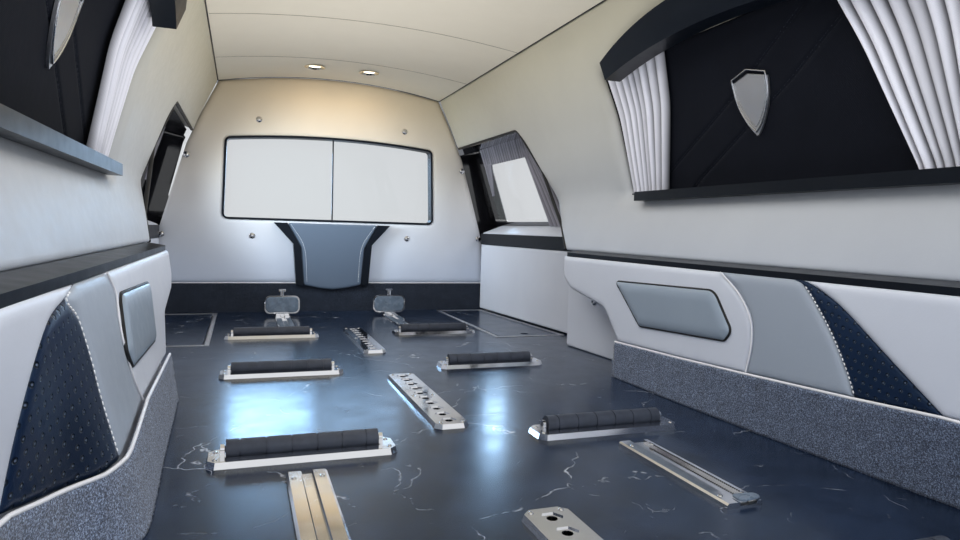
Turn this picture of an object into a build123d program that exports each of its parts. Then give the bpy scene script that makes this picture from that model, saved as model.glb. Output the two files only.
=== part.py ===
from build123d import *
import math
import os

# Casket compartment of a hearse: floor with rollers and pin plates, padded walls, doors, roof and partition.
# Millimetres. While it is built, x runs to the right from the middle, y forward from the rear sill and
# z up from the top of the deck. Every piece is moved once, when it is saved: then the origin is
# on the ground, in the middle of the compartment's length.

# Whole compartment
LENGTH = 3280
FRONT_STUB = 192
DECK_THICK = 18
FRAME_DEPTH = 132
DECK_TOP = DECK_THICK + FRAME_DEPTH
GAP = 0.3
# Cuts through a side run from inside every wall's face to past the body
WITHIN = 400
BEYOND = 1000
PARTITION_Y = LENGTH - FRONT_STUB
PARTITION_THICK = 60

# Outer skin of the body, right half, from the sill up: points x, z
SILL = (905, -FRAME_DEPTH - DECK_THICK)
WAIST = (974, 150)
GLASS_FOOT = (930, 440)
GLASS_HEAD = (800, 830)
CANT = (752, 945)
DRIP = (650, 1050)
CROWN_SIDE = (340, 1144)
CROWN_TOP = 1182
ROOF_THICK = 24

# Inner face of the padded wall, right half, from the belt up: x, z and the rounding at that corner
WALL_LINE = ((655, 350, 0), (702, 530, 60), (642, 760, 400), (579, 910, 400), (515, 1047, 0))
WALL_PAD = 25
SHELL_INNER = 836

# Ceiling
CEILING_EDGE = (515, 1047)
CEILING_TOP = 1100
CEILING_THICK = 14
CEILING_SEAT = 18

# Belt moulding under the padded wall; its inner edge stands this far outside the cover's face
BELT_BACK = 6
BELT_BOTTOM = 331
BELT_TOP = 350
BELT_START = 60
BELT_END = 1838
BELT_TIP = 26

# Side window: recess in the wall, opening in the skin, the board in it and its glass
RECESS_REAR = 560
RECESS_FRONT = 1615
RECESS_BOTTOM = 530
RECESS_TOP = 886
RECESS_RAKE = 22
OPENING_MARGIN = 16
BOARD_DEPTH = 34
BOARD_THICK = 8
GLASS_THICK = 6
SILL_PROUD = 37
SILL_INNER = WALL_LINE[1][0] - SILL_PROUD
SILL_HIGH = 22
SHELF_HIGH = 4
SILL_REAR = 500
SILL_FRONT = 1524
VALANCE_INNER = 560
VALANCE_REAR = 655
VALANCE_FRONT = 1530
VALANCE_LOW = 846
VALANCE_RISE = 40
VALANCE_HIGH = 46
VALANCE_GROW = 26

# Curtains at the side window: y at the head and y at the foot of each edge
CURTAIN_THICK = 24
CURTAIN_CLEAR = 4
FRONT_CURTAIN = (1330, 1620, 1440, 1604)
REAR_CURTAIN = (596, 818, 584, 692)

# Shield on the board
SHIELD_Y = 1078
SHIELD_Z = 719
SHIELD_WIDE = 112
SHIELD_HIGH = 132
SHIELD_THICK = 5
SHIELD_OFF = 0.4

# Side door: its inner opening in the wall, y and z, from the belt round to the partition
DOOR_LOW = -92
DOOR_REAR_LOW = 1965
DOOR_MARGIN = 44
DOOR_FRONT = LENGTH - DOOR_MARGIN
DOOR_AT_X = 900
PLUG_X = 640
PLUG_LONG = 380
WALL_OPENING = ((1925, 350), (2010, 430), (2190, 643), (2330, 812))
WALL_OPENING_TOP = 818
WALL_OPENING_OUT = 760
DOOR_OUTLINE = ((1985, 350), (2045, 430), (2195, 630), (2350, 850))
DOOR_TOP = 854
DOOR_GAP = 6
DOOR_TAPER = 14
DOOR_RING = 60
DOOR_GLASS_BACK = 32
DOOR_INNER = SHELL_INNER + 2
DOOR_WAIST = 392
DOOR_GLASS_FOOT = 455
DOOR_GLASS_HEAD = 762
DOOR_GLASS_REAR = 2150
DOOR_GLASS_KNEE = (2270, 600)
DOOR_GLASS_HEAD_REAR = 2430
DOOR_GLASS_END = 90
DOOR_CURTAIN_LOW = (2150, 2480, 425)
DOOR_CURTAIN_HIGH = (2420, 2560, 790)
DOOR_CURTAIN_KNEE = (2260, 610)
TRIM_FRONT_THICK = 81
TRIM_REAR_THICK = 9
TRIM_FRONT_X = DOOR_INNER - TRIM_FRONT_THICK
TRIM_REAR_X = DOOR_INNER - TRIM_REAR_THICK
TRIM_START = 60
BAND_START = 110
BAND_PROUD = 6
TRIM_LOW = 8
TRIM_HIGH = 336
BAND_HIGH = 392

# Door hinges on the outside, near the waist: axis, the door's knuckle, the two fixed knuckles and the pin
DOOR_HINGE_X = 972
DOOR_HINGE_AHEAD = 8
DOOR_HINGE_Y = DOOR_FRONT + DOOR_HINGE_AHEAD
DOOR_HINGE_Z = (60, 260)
HINGE_R = 9
HINGE_PIN_R = 4
HINGE_PIN_CLEAR = 0.05
HINGE_KNUCKLE = 40
HINGE_FIXED = 14
HINGE_PLAY = 1
HINGE_ARM = 20
HINGE_LEAF = 4
HINGE_LEAF_LONG = 26

# Wheelhouse and its cover
WHEEL_Y = 1000
WHEEL_Z = -200
ARCH_R = 430
ARCH_LIP = 18
ARCH_LIP_PROUD = 6
TUB_R = 440
TUB_SHEET = 4
TUB_INTO_SHELL = 60
TUB_INNER = 655
COVER_ROOM = 55
COVER_INNER = TUB_INNER - COVER_ROOM
BELT_INNER = COVER_INNER + BELT_BACK
COVER_REAR = 60
COVER_WALL = 22
COVER_FRONT = ((1470, 0), (1470, 85), (1560, 190), (1780, 228), (1834, 262), (1834, 331))
COVER_ROUNDS = (60, 60, 40, 22)
PANEL_THICK = 14
CARPET_THICK = 9
# Carpet band of each cover: station y, height of its top edge, and how far its foot has moved outward there
CARPET_RIGHT = ((60, 147, 76), (300, 146, 60), (543, 143, 43), (701, 133, 31), (966, 120, 15), (1200, 110, 6),
                (1479, 101, 0))
CARPET_LEFT = ((60, 147, 76), (300, 140, 60), (560, 129, 41), (610, 120, 16), (665, 112, -5), (720, 104, -46),
               (784, 102, -65), (896, 107, -62), (1040, 114, -56), (1479, 107, -44))
CARPET_END = 728
CARPET_END_HIGH = 50
# Seams of the right cover: points y, z from the belt down to the carpet
PIPED_RIGHT = ((1060, 331), (1000, 290), (960, 240), (953, 185), (966, 120))
STITCHED_RIGHT = ((850, 331), (822, 318), (765, 250), (722, 180), (701, 133))
LEATHER_RIGHT = ((850, 331), (815, 327), (740, 290), (640, 215), (543, 143))
# Seams of the left cover
PIPED_LEFT = ((950, 331), (985, 297), (969, 262), (966, 217), (993, 160), (1040, 114))
STITCHED_LEFT = ((760, 331), (706, 318), (739, 293), (757, 244), (765, 190), (784, 102))
LEATHER_LEFT = ((760, 331), (700, 317), (640, 300), (602, 262), (575, 200), (560, 129))
# Inset pad of each cover: corner y, z and its rounding
PAD_RIGHT = ((1497, 275, 6), (1075, 288, 40), (1012, 205, 16), (1033, 180, 12), (1366, 164, 14))
PAD_LEFT = ((1330, 284, 6), (1000, 294, 30), (962, 210, 16), (984, 182, 12), (1288, 172, 14))
# Each cover: 1 where its face leans with the carpet's foot, then its carpet, its seams and its pad
RIGHT_COVER = (0, CARPET_RIGHT, PIPED_RIGHT, STITCHED_RIGHT, LEATHER_RIGHT, PAD_RIGHT)
LEFT_COVER = (1, CARPET_LEFT, PIPED_LEFT, STITCHED_LEFT, LEATHER_LEFT, PAD_LEFT)
INSET_PROUD = 9
POCKET_THICK = 18
POCKET_REAR = (733, 1500)
POCKET_FRONT = (703, 1988)
POCKET_TOP = 300
SHADOW_AHEAD = 16
SHADOW_BELOW = 14

# Deck hatches at the front corners
HATCH_INNER = 512
HATCH_REAR = 2198
HATCH_BACK = 48
HATCH_FRONT = PARTITION_Y - HATCH_BACK
HATCH_SIDE_REAR = 30
HATCH_SIDE_FRONT = 88
HATCH_OUTER_REAR = SHELL_INNER - HATCH_SIDE_REAR
HATCH_OUTER_FRONT = SHELL_INNER - HATCH_SIDE_FRONT
HATCH_RIM = 14
HATCH_GAP = 5
HATCH_PULL_R = 16
HATCH_PIN_R = 3
HATCH_PIN_LONG = 12
HATCH_PIN_CLEAR = 0.05
HATCH_LID = 14
HATCH_LEDGE = 16
BIN_DEEP = 110
BIN_SHEET = 2
BIN_FLANGE = 5

# Slotted tracks: x, y of the rear end, y of the front end
FRONT_TRACK_BACK = 98
FRONT_TRACK_LONG = 570
FRONT_TRACK_END = PARTITION_Y - FRONT_TRACK_BACK
FRONT_TRACK = (240, FRONT_TRACK_END - FRONT_TRACK_LONG, FRONT_TRACK_END)

# Floor rollers: y of each row's axle, from the rear
ROLLER_BACK = 73
ROLLER_ROWS = (405, 1037, 1717, FRONT_TRACK[1] - ROLLER_BACK)
ROLLER_X = 305
TRAY_LONG = 327
TRAY_WIDE = 76
TRAY_CLEAR = 63
TRAY_HIGH = 11
TRAY_CORNER = 14
ROLLER_R = 16.5
ROLLER_SHORT = 21.5
ROLLER_LONG = 41
ROLLER_GROOVE = 2.5
ROLLER_GROOVE_DEPTH = 2
ROLLER_FORWARD = 9
AXLE_R = 5
AXLE_CLEAR = 0.05
AXLE_STUB = 9
ROLLER_AXIS_Z = 19.5
TROUGH_FLOOR = 1.5
TROUGH_SIDE = 3
TROUGH_END = 2
LUG_THICK = 7
LUG_R = 8.5
BEVEL = 18

# Pin plates on the middle line: y of the rear end, from the rear
PIN_PLATES = (200, 1120, 1965)
PIN_PLATE_LONG = 494
PIN_PLATE_WIDE = 76
PIN_PLATE_HIGH = 10
PIN_COUNT = 10
PIN_PITCH = 47.3
PIN_HOLE_R = 8
PIN_HEX_ACROSS = 30
PIN_HEX_DEEP = 2
PIN_SLOT_WIDE = 40

# Rear tracks up to the second row of trays, and the casket stops on the front pair
REAR_TRACK = (311, 630, ROLLER_ROWS[1] - TRAY_WIDE / 2 - TRAY_CLEAR)
TRACK_WIDE = 66
TRACK_HIGH = 9
TRACK_SLOT = 16
TRACK_SLOT_DEEP = 6
CHANNEL_BROAD = 24
CHANNEL_NARROW = 10
CHANNEL_BED = 3
STOP_BACK = 90
STOP_Y = FRONT_TRACK_END - STOP_BACK
STOP_PAD = (150, 80)
STOP_PAD_THICK = 18
STOP_BASE_LONG = 84
STOP_BASE_THICK = 10
STOP_PAD_ROUND = 24
STOP_STEM_R = 9
STOP_STEM_LONG = 30
STOP_LUG = (30, 12, 9)

# Partition
PARTITION_LINE = ((785, 0), (767, 350), (712, 540), (647, 760), (582, 910), (515, 1047))
WINDOW_FOOT = 428
WINDOW_HEAD = 800
WINDOW_ARCH = 827
WINDOW_FOOT_X = 498
WINDOW_HEAD_X = 486
WINDOW_ROUND = 26
WINDOW_FRAME = 9
PANE_THICK = 5
PANE_SPLIT = 6
PANE_BACK = 30
FRAME_PROUD = 2
KICK_HIGH = 134
KICK_THICK = 12
CONSOLE_TOP = ((-272, 418), (272, 418))
CONSOLE_LINE = ((212, 418), (150, 306), (135, 128), (60, 112), (0, 106))
CONSOLE_EDGE = 34
CONSOLE_DEPTH = 34

# Rubbing strip at the rear edge of the deck
SILL_PLATE_WIDE = 70
SILL_PLATE_THICK = 2.5
SILL_PLATE_RIBS = 4
SILL_PLATE_PITCH = 14

# Underframe
RAIL_X = 470
RAIL_WIDE = 70
RAIL_WALL = 5
BOLT_R = 6.5
BOLT_BACK = 380
BOLT_STATIONS = (340, LENGTH - BOLT_BACK)
CROSS_DEEP = 70
CROSS_WIDE = 90
CROSS_FLANGE = 18
CROSS_SHEET = 3
CROSS_LEAN = 12
CROSS_BACK = 130
CROSS_LONG = ((72, 766), (480, 766), (1530, 766), (2080, 766), (2620, 440), (LENGTH - CROSS_BACK, 766))

# Lamps in the ceiling
LIGHT_X = 118
LIGHT_BACK = 245
LIGHT_Y = PARTITION_Y - LIGHT_BACK
LIGHT_R = 40
LIGHT_DROP = 5.3
LIGHT_LINE = ((-12, 24), (-5, 24), (-5, 0), (4, 0), (4, -2), (-4, -4), (-12, 10))


def save(name, *solids):
    """Write one node, moved to the ground under the middle of the compartment."""
    place = Location((0, -LENGTH / 2, DECK_TOP))
    pieces = []
    for shape in solids:
        for solid in shape.solids():
            pieces.append(solid.moved(place))
    whole = pieces[0] if len(pieces) == 1 else Compound(children=pieces)
    export_step(whole, "parts/" + name + ".step")


def left_of(shape):
    """The same piece on the other side of the middle."""
    return mirror(shape, about=Plane.YZ)


def box(x0, x1, y0, y1, z0, z1):
    """A block between two corners."""
    block = Box(x1 - x0, y1 - y0, z1 - z0)
    return block.moved(Location(((x0 + x1) / 2, (y0 + y1) / 2, (z0 + z1) / 2)))


def section(*edges):
    """A face across the compartment, from edges drawn as x, z."""
    return make_face(Curve() + list(edges))


def xz(point, y=0):
    return (point[0], y, point[1])


def yz(point, x=0):
    return (x, point[0], point[1])


def along(face, y0, y1):
    """Run a cross-section from one station to another."""
    return extrude(face.moved(Location((0, y0, 0))), amount=y1 - y0, dir=(0, 1, 0))


def across(points, x0, x1, rounds=None):
    """Run a side outline, given as y, z, from one x to another."""
    face = make_face(Polyline(*[yz(p) for p in points], close=True))
    if rounds:
        face = round_corners(face, [yz(p) for p in points], rounds)
    return extrude(face.moved(Location((x0, 0, 0))), amount=x1 - x0, dir=(1, 0, 0))


def round_corners(face, corners, rounds):
    """Round the corners of a flat face, each by its own radius, 0 for sharp."""
    for corner, radius in zip(corners, rounds):
        if radius:
            nearest = face.vertices().sort_by_distance(corner)[0]
            face = fillet(nearest, radius)
    return face


def offset_line(points, distance):
    """Shift an open line sideways, to its right, with mitred corners."""
    shifted = []
    normals = []
    for (xa, za), (xb, zb) in zip(points, points[1:]):
        run = math.hypot(xb - xa, zb - za)
        normals.append(((zb - za) / run, (xa - xb) / run))
    for i, (x, z) in enumerate(points):
        before = normals[max(i - 1, 0)]
        after = normals[min(i, len(normals) - 1)]
        share = 1 + before[0] * after[0] + before[1] * after[1]
        dx = (before[0] + after[0]) / share
        dz = (before[1] + after[1]) / share
        shifted.append((x + dx * distance, z + dz * distance))
    return shifted


def wall_x(z, depth=0.0):
    """The x of the padded wall's inner face at a height, or of a line that far behind it."""
    line = offset_line([(x, zz) for x, zz, _ in WALL_LINE], depth)
    for (xa, za), (xb, zb) in zip(line, line[1:]):
        if z <= zb:
            return xa + (xb - xa) * (z - za) / (zb - za)
    return line[-1][0]


def skin_edges(shift=0.0):
    """The outer skin as edges x, z, from the sill to the roof's middle, moved inward by shift."""
    def inward(point, nx, nz):
        return (point[0] - nx * shift, 0, point[1] - nz * shift)
    foot = inward(SILL, 1, 0)
    waist = inward(WAIST, 1, 0)
    lean = math.atan2(GLASS_FOOT[0] - GLASS_HEAD[0], GLASS_HEAD[1] - GLASS_FOOT[1])
    glass_foot = inward(GLASS_FOOT, math.cos(lean), math.sin(lean))
    glass_head = inward(GLASS_HEAD, math.cos(lean), math.sin(lean))
    cant = inward(CANT, 0.8, 0.6)
    drip = inward(DRIP, 0.45, 0.89)
    side = inward(CROWN_SIDE, 0.2, 0.98)
    top = (0, 0, CROWN_TOP - shift)
    lower = ThreePointArc(foot, waist, glass_foot)
    glass = Line(glass_foot, glass_head)
    shoulder = ThreePointArc(glass_head, cant, drip)
    crown = ThreePointArc(drip, side, top)
    return [lower, glass, shoulder, crown]


def body_block(shift, y0, y1):
    """Everything inside the outer skin moved inward by shift, right half."""
    edges = skin_edges(shift)
    top = edges[-1] @ 1
    foot = edges[0] @ 0
    close = Polyline(top, (0, 0, SILL[1]), foot)
    return along(section(*edges, close), y0, y1)


def wall_region(depth):
    """The inside of the padded wall's face moved outward by depth, as a cross-section."""
    line = offset_line([(x, z) for x, z, _ in WALL_LINE], depth)
    rounds = []
    for _, _, radius in WALL_LINE[1:-1]:
        rounds.append(max(radius + depth, 5))
    return line, rounds


def wall_face(depth_in, depth_out):
    """The cross-section between two depths behind the padded wall's inner face."""
    near, near_rounds = wall_region(depth_in)
    far, far_rounds = wall_region(depth_out)
    near_edge = FilletPolyline(*[xz(p) for p in near], radius=near_rounds)
    far_edge = FilletPolyline(*[xz(p) for p in far], radius=far_rounds)
    foot = Line(xz(near[0]), xz(far[0]))
    head = Line(xz(near[-1]), xz(far[-1]))
    return section(near_edge, head, far_edge, foot)


# Openings that several pieces share

def window_prism(grow, x0, x1, foot=RECESS_BOTTOM, head=RECESS_TOP):
    """The side window's outline, grown by a margin, as a block along x."""
    points = (
        (RECESS_REAR - grow, foot - grow),
        (RECESS_FRONT + grow, foot - grow),
        (RECESS_FRONT + RECESS_RAKE + grow, head + grow),
        (RECESS_REAR + RECESS_RAKE - grow, head + grow),
    )
    radius = 18 + max(grow, 0)
    return across(points, x0, x1, rounds=(radius,) * 4)


def wall_opening():
    """The door's opening in the padded wall and the shell behind it."""
    points = [(WALL_OPENING[0][0], BELT_TOP - 60)] + list(WALL_OPENING)
    points += [(PARTITION_Y + 1, WALL_OPENING_TOP), (PARTITION_Y + 1, BELT_TOP - 60)]
    return across(points, WITHIN, WALL_OPENING_OUT, rounds=(0, 60, 0, 0, 40, 0, 0))


def door_prism(gap):
    """The door's outline as a plug that widens outward, shrunk by a gap."""
    points = [(DOOR_REAR_LOW, DOOR_LOW), (DOOR_REAR_LOW, 250)] + list(DOOR_OUTLINE)
    points += [(DOOR_FRONT, DOOR_TOP), (DOOR_FRONT, DOOR_LOW)]
    rounds = (40, 90, 0, 0, 0, 60, 30, 40)
    corners = [yz(p, PLUG_X) for p in points]
    face = round_corners(make_face(Polyline(*corners, close=True)), corners, rounds)
    lean = math.tan(math.radians(DOOR_TAPER))
    face = offset(face, amount=-gap - (DOOR_AT_X - PLUG_X) * lean)
    return extrude(face, amount=PLUG_LONG, dir=(1, 0, 0), taper=-DOOR_TAPER)


def shell_right():
    """The body side: thick wall between the skin and the trim, with its openings cut."""
    block = body_block(0, 0, LENGTH)
    inner, rounds = wall_region(WALL_PAD)
    foot = (SHELL_INNER, SILL[1])
    knee = (SHELL_INNER, BELT_TOP)
    near = [foot, knee, (inner[0][0], BELT_TOP)] + inner[1:]
    roof_cut = (inner[-1][0], CROWN_TOP + 50)
    cavity = Polyline(*[xz(p) for p in near + [roof_cut, (0, roof_cut[1]), (0, SILL[1])]], close=True)
    side = block - along(make_face(cavity), 0, LENGTH)
    side -= roof_block()
    side -= along(wall_face(-5, WALL_PAD), 0, PARTITION_Y)
    side -= window_prism(OPENING_MARGIN, WITHIN, BEYOND)
    side -= wall_opening()
    side -= door_prism(0)
    arch = wheel_disc(ARCH_R, TUB_INNER, BEYOND)
    side -= arch
    side -= tub_block(0)
    ring = wheel_disc(ARCH_R + ARCH_LIP, TUB_INNER, BEYOND)
    side += (body_block(-ARCH_LIP_PROUD, 0, LENGTH) - body_block(1, 0, LENGTH)) & (ring - arch)
    for z in DOOR_HINGE_Z:
        reach = HINGE_KNUCKLE / 2 + HINGE_PLAY + HINGE_FIXED
        side -= upright(HINGE_R + GAP, z - reach - GAP, z + reach + GAP)
    return side


def roof_block():
    """The outer roof panel over the full width between the drip rails."""
    outer = body_block(0, 0, LENGTH) - body_block(ROOF_THICK, 0, LENGTH)
    right = outer & box(0, DRIP[0], 0, LENGTH, DRIP[1] - 60, CROWN_TOP + 20)
    return right


def wheel_disc(radius, x0, x1):
    """A disc on the wheel's axis, from one x to another."""
    disc = Cylinder(radius, x1 - x0, rotation=(0, 90, 0))
    return disc.moved(Location(((x0 + x1) / 2, WHEEL_Y, WHEEL_Z)))


def tub_block(grow):
    """The space that the wheelhouse fills, grown by a margin."""
    disc = wheel_disc(TUB_R + grow, TUB_INNER - grow, SHELL_INNER + TUB_INTO_SHELL + grow)
    return disc & box(0, BEYOND, 0, LENGTH, SILL[1], CROWN_TOP)


def wheelhouse_right():
    """A pressed half-round tub, open outward and below."""
    return tub_block(-GAP) - wheel_disc(TUB_R - TUB_SHEET, TUB_INNER + TUB_SHEET, BEYOND)


def wall_right():
    """The padded upper wall, with the window recess and the door opening cut."""
    wall = along(wall_face(0, WALL_PAD), 0, PARTITION_Y)
    wall -= window_prism(0, WITHIN, BEYOND)
    wall -= wall_opening()
    wall -= box(WITHIN, BEYOND, 0, LENGTH, 0, BELT_TOP)
    return wall


def roof():
    right = roof_block()
    return right + left_of(right)


def headliner():
    """The arched ceiling board, seated on the heads of the two walls."""
    edge = xz(CEILING_EDGE)
    other = (-edge[0], 0, edge[2])
    (xa, za, _), (xb, zb, _) = WALL_LINE[-2:]
    run = math.hypot(xb - xa, zb - za)
    seat = (edge[0] + CEILING_SEAT * (zb - za) / run, 0, edge[2] + CEILING_SEAT * (xa - xb) / run)
    other_seat = (-seat[0], 0, seat[2])
    low = ThreePointArc(other, (0, 0, CEILING_TOP), edge)
    high = ThreePointArc(seat, (0, 0, CEILING_TOP + CEILING_THICK), other_seat)
    board = along(section(low, Line(edge, seat), high, Line(other_seat, other)), 0, PARTITION_Y)
    for side in (-1, 1):
        board -= Cylinder(LIGHT_R - 4, 80).moved(Location((side * LIGHT_X, LIGHT_Y, CEILING_TOP)))
    return board


def downlight(side):
    """A recessed lamp with a flared rim that stands a little below the ceiling."""
    points = [(LIGHT_R + dr, CEILING_TOP - LIGHT_DROP + dz) for dr, dz in LIGHT_LINE]
    rim = revolve(make_face(Polyline(*[xz(p) for p in points], close=True)), axis=Axis.Z)
    return rim.moved(Location((side * LIGHT_X, LIGHT_Y, 0)))


def belt_right():
    """The gloss ledge under the padded wall, rounded off at its front tip."""
    points = [(BELT_INNER, BELT_BOTTOM), (SHELL_INNER, BELT_BOTTOM), (SHELL_INNER, BELT_TOP),
              (BELT_INNER + 40, BELT_TOP), (BELT_INNER, BELT_TOP - 6)]
    bar = along(section(Polyline(*[xz(p) for p in points], close=True)), BELT_START, BELT_END)
    corners = [(BELT_INNER, 0, 0), (SHELL_INNER, 0, 0), (SHELL_INNER, BELT_END, 0), (BELT_INNER, BELT_END, 0)]
    plan = make_face(Polyline(*corners, close=True))
    tip = fillet(plan.vertices().sort_by_distance((BELT_INNER, BELT_END, 0))[0], BELT_TIP)
    return bar & extrude(tip, amount=BELT_TOP, dir=(0, 0, 1))


def sill_right():
    """The gloss ledge at the foot of the side window's recess, with its shelf back to the board."""
    top = RECESS_BOTTOM + SHELF_HIGH
    nose = box(SILL_INNER, SILL_INNER + 80, SILL_REAR, SILL_FRONT, RECESS_BOTTOM - SILL_HIGH, top)
    nose -= along(wall_face(-GAP, WALL_PAD + 60), 0, PARTITION_Y)
    rear = RECESS_REAR + RECESS_RAKE
    front = RECESS_FRONT - RECESS_RAKE
    shelf = box(SILL_INNER + 10, SILL_INNER + 200, rear, SILL_FRONT, RECESS_BOTTOM, top)
    shelf += box(wall_x(RECESS_BOTTOM), SILL_INNER + 200, SILL_FRONT, front, RECESS_BOTTOM, top)
    shelf -= along(wall_face(BOARD_DEPTH - GAP, BOARD_DEPTH + 200), 0, PARTITION_Y)
    return nose + shelf


def board_right():
    """The covered board that fills the recess, leaning with the wall."""
    slab = along(wall_face(BOARD_DEPTH, BOARD_DEPTH + BOARD_THICK), 0, PARTITION_Y)
    return slab & window_prism(-1, WITHIN, BEYOND, foot=RECESS_BOTTOM + 1)


def side_glass_right():
    """The outer pane, flush with the skin."""
    band = body_block(2, 0, LENGTH) - body_block(2 + GLASS_THICK, 0, LENGTH)
    return band & window_prism(OPENING_MARGIN - 1, WITHIN, BEYOND)


def curtain(head_rear, head_front, foot_rear, foot_front):
    """One gathered curtain as a plain slab in front of the board."""
    near = BOARD_DEPTH - CURTAIN_CLEAR - CURTAIN_THICK
    slab = along(wall_face(near, BOARD_DEPTH - CURTAIN_CLEAR), 0, PARTITION_Y)
    foot = RECESS_BOTTOM + SHELF_HIGH + GAP
    head = RECESS_TOP - 2
    points = ((foot_rear, foot), (foot_front, foot), (head_front, head), (head_rear, head))
    return slab & across(points, WITHIN, BEYOND)


def valance_right():
    """The arched box over the head of the side window."""
    middle = (VALANCE_REAR + VALANCE_FRONT) / 2
    low = [(VALANCE_REAR, VALANCE_LOW), (middle, VALANCE_LOW + VALANCE_RISE), (VALANCE_FRONT, VALANCE_LOW)]
    top = VALANCE_LOW + VALANCE_HIGH
    high = [(VALANCE_FRONT, top), (middle, top + VALANCE_RISE + VALANCE_GROW), (VALANCE_REAR, top)]
    face = make_face(Curve() + [
        ThreePointArc(*[yz(p) for p in low]), Line(yz(low[-1]), yz(high[0])),
        ThreePointArc(*[yz(p) for p in high]), Line(yz(high[-1]), yz(low[0]))])
    bar = extrude(face.moved(Location((WITHIN, 0, 0))), amount=BEYOND - WITHIN, dir=(1, 0, 0))
    reach = wall_x(VALANCE_LOW) - VALANCE_INNER
    slab = along(wall_face(-reach, -GAP), 0, PARTITION_Y)
    return bar & slab


def shield_right():
    """A plain heater shield that stands off the board."""
    half = SHIELD_WIDE / 2
    top = SHIELD_HIGH * 0.42
    peak = (0, top + 10)
    tip = (0, top - SHIELD_HIGH)
    right = (half, top - 4)
    left = (-half, top - 4)
    bulge = half * 0.74
    face = make_face(Curve() + [Line(peak, right), ThreePointArc(right, (bulge, -18), tip),
                                ThreePointArc(tip, (-bulge, -18), left), Line(left, peak)])
    plate = extrude(face, amount=SHIELD_THICK)
    low = wall_x(SHIELD_Z - SHIELD_HIGH / 2, BOARD_DEPTH)
    high = wall_x(SHIELD_Z + SHIELD_HIGH / 2, BOARD_DEPTH)
    lean = math.atan2(low - high, SHIELD_HIGH)
    plane = Plane(origin=((low + high) / 2 - SHIELD_OFF, SHIELD_Y, SHIELD_Z), x_dir=(0, -1, 0),
                  z_dir=(-math.cos(lean), 0, -math.sin(lean)))
    return plane * plate


def carpet_top(line, y):
    """The height of the carpet's top edge at a station."""
    for (ya, za, _), (yb, zb, _) in zip(line, line[1:]):
        if y <= yb:
            return za + (zb - za) * (y - ya) / (yb - ya)
    return line[-1][1]


def face_shift(lean, out, z):
    """How far outward a cover's face has moved at a height, where its carpet's foot has moved by out."""
    return lean * out * (BELT_BOTTOM - z) / BELT_BOTTOM


def behind_face(cover, near, far=BEYOND):
    """The space behind one cover's face, from one depth to another."""
    lean, line = cover[:2]
    first = COVER_REAR - 1
    last = COVER_FRONT[-1][0] + 1
    low = -1
    high = BELT_BOTTOM + 1
    if not lean:
        return box(COVER_INNER + near, COVER_INNER + far, first, last, low, high)
    stations = [(first, line[0][2])] + [(y, out) for y, _, out in line[1:]] + [(last, line[-1][2])]
    sections = []
    for y, out in stations:
        corners = []
        for depth, z in ((near, high), (far, high), (far, low), (near, low)):
            corners.append((COVER_INNER + depth + face_shift(lean, out, z), y, z))
        sections.append(make_face(Polyline(*corners, close=True)))
    return loft(sections, ruled=True)


def carpet_band(cover, near, far, over=0.0):
    """A leaning band along the carpet's line, between two depths outward from the cover's face."""
    lean, line = cover[:2]
    sections = []
    for y, top, out in line:
        head = top + over
        shift = face_shift(lean, out, head)
        corners = ((near + shift, head), (far + shift, head), (far + out, 0), (near + out, 0))
        sections.append(make_face(Polyline(*[(COVER_INNER + x, y, z) for x, z in corners], close=True)))
    return loft(sections, ruled=True)


def carcass(cover):
    """The carcass of the cover over the wheelhouse, behind its padded panels."""
    rounds = (0, 0) + COVER_ROUNDS + (0, 0)
    depth = PANEL_THICK + GAP
    points = [(COVER_REAR, 0)] + list(COVER_FRONT) + [(COVER_REAR, BELT_BOTTOM)]
    block = across(points, WITHIN, SHELL_INNER - GAP, rounds=rounds) & behind_face(cover, depth)
    front = COVER_FRONT[0][0] - COVER_WALL
    high = BELT_BOTTOM - COVER_WALL
    rear = COVER_REAR + COVER_WALL
    hollow = across([(rear, -1), (front, -1), (front, high), (rear, high)], WITHIN, SHELL_INNER,
                    rounds=(0, 40, 20, 20))
    hollow &= behind_face(cover, depth + COVER_WALL)
    shell = block - hollow
    if not cover[0]:
        shell -= carpet_band(cover, -WITHIN / 2, depth, over=GAP)
    return [shell]


def cover_region(line, rear_line, front_line):
    """The outline of the cover's face between two lines y, z, above the carpet."""
    rear = rear_line[-1][0]
    front = front_line[-1][0]
    stations = [rear] + [y for y, _, _ in line if rear < y < front] + [front]
    foot = [(y, carpet_top(line, y) + GAP) for y in stations]
    outline = list(rear_line[:-1]) + foot + list(reversed(front_line[:-1]))
    return [point for i, point in enumerate(outline) if point != outline[i - 1]]


def cover_panel(cover, rear_line, front_line):
    """One padded panel of the cover's face between two lines."""
    region = cover_region(cover[1], rear_line, front_line)
    return across(region, WITHIN, SHELL_INNER) & behind_face(cover, 0, PANEL_THICK)


def moved_line(line, shift):
    return [(y + shift, z) for y, z in line]


def cover_panels(cover):
    """The light panels at the front and the rear of a cover."""
    _, _, piped, _, leather, _ = cover
    front = cover_panel(cover, moved_line(piped, GAP), list(reversed(COVER_FRONT[1:])))
    side = [(0, 0)] + list(COVER_FRONT) + [(0, BELT_BOTTOM)]
    front &= across(side, 0, SHELL_INNER, rounds=(0, 0) + COVER_ROUNDS + (0, 0))
    rear = cover_panel(cover, [(COVER_REAR, BELT_BOTTOM), (COVER_REAR, 0)], moved_line(leather, -GAP))
    return front, rear


def cover_pads(cover):
    """The grey middle panel, and the inset pad on the front one."""
    _, _, piped, stitched, _, inset = cover
    middle = cover_panel(cover, moved_line(stitched, GAP), moved_line(piped, -GAP))
    corners = [(y, z) for y, z, _ in inset]
    rounds = [r for _, _, r in inset]
    pad = across(corners, WITHIN, SHELL_INNER, rounds=rounds) & behind_face(cover, -GAP - INSET_PROUD, -GAP)
    return middle, pad


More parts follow.
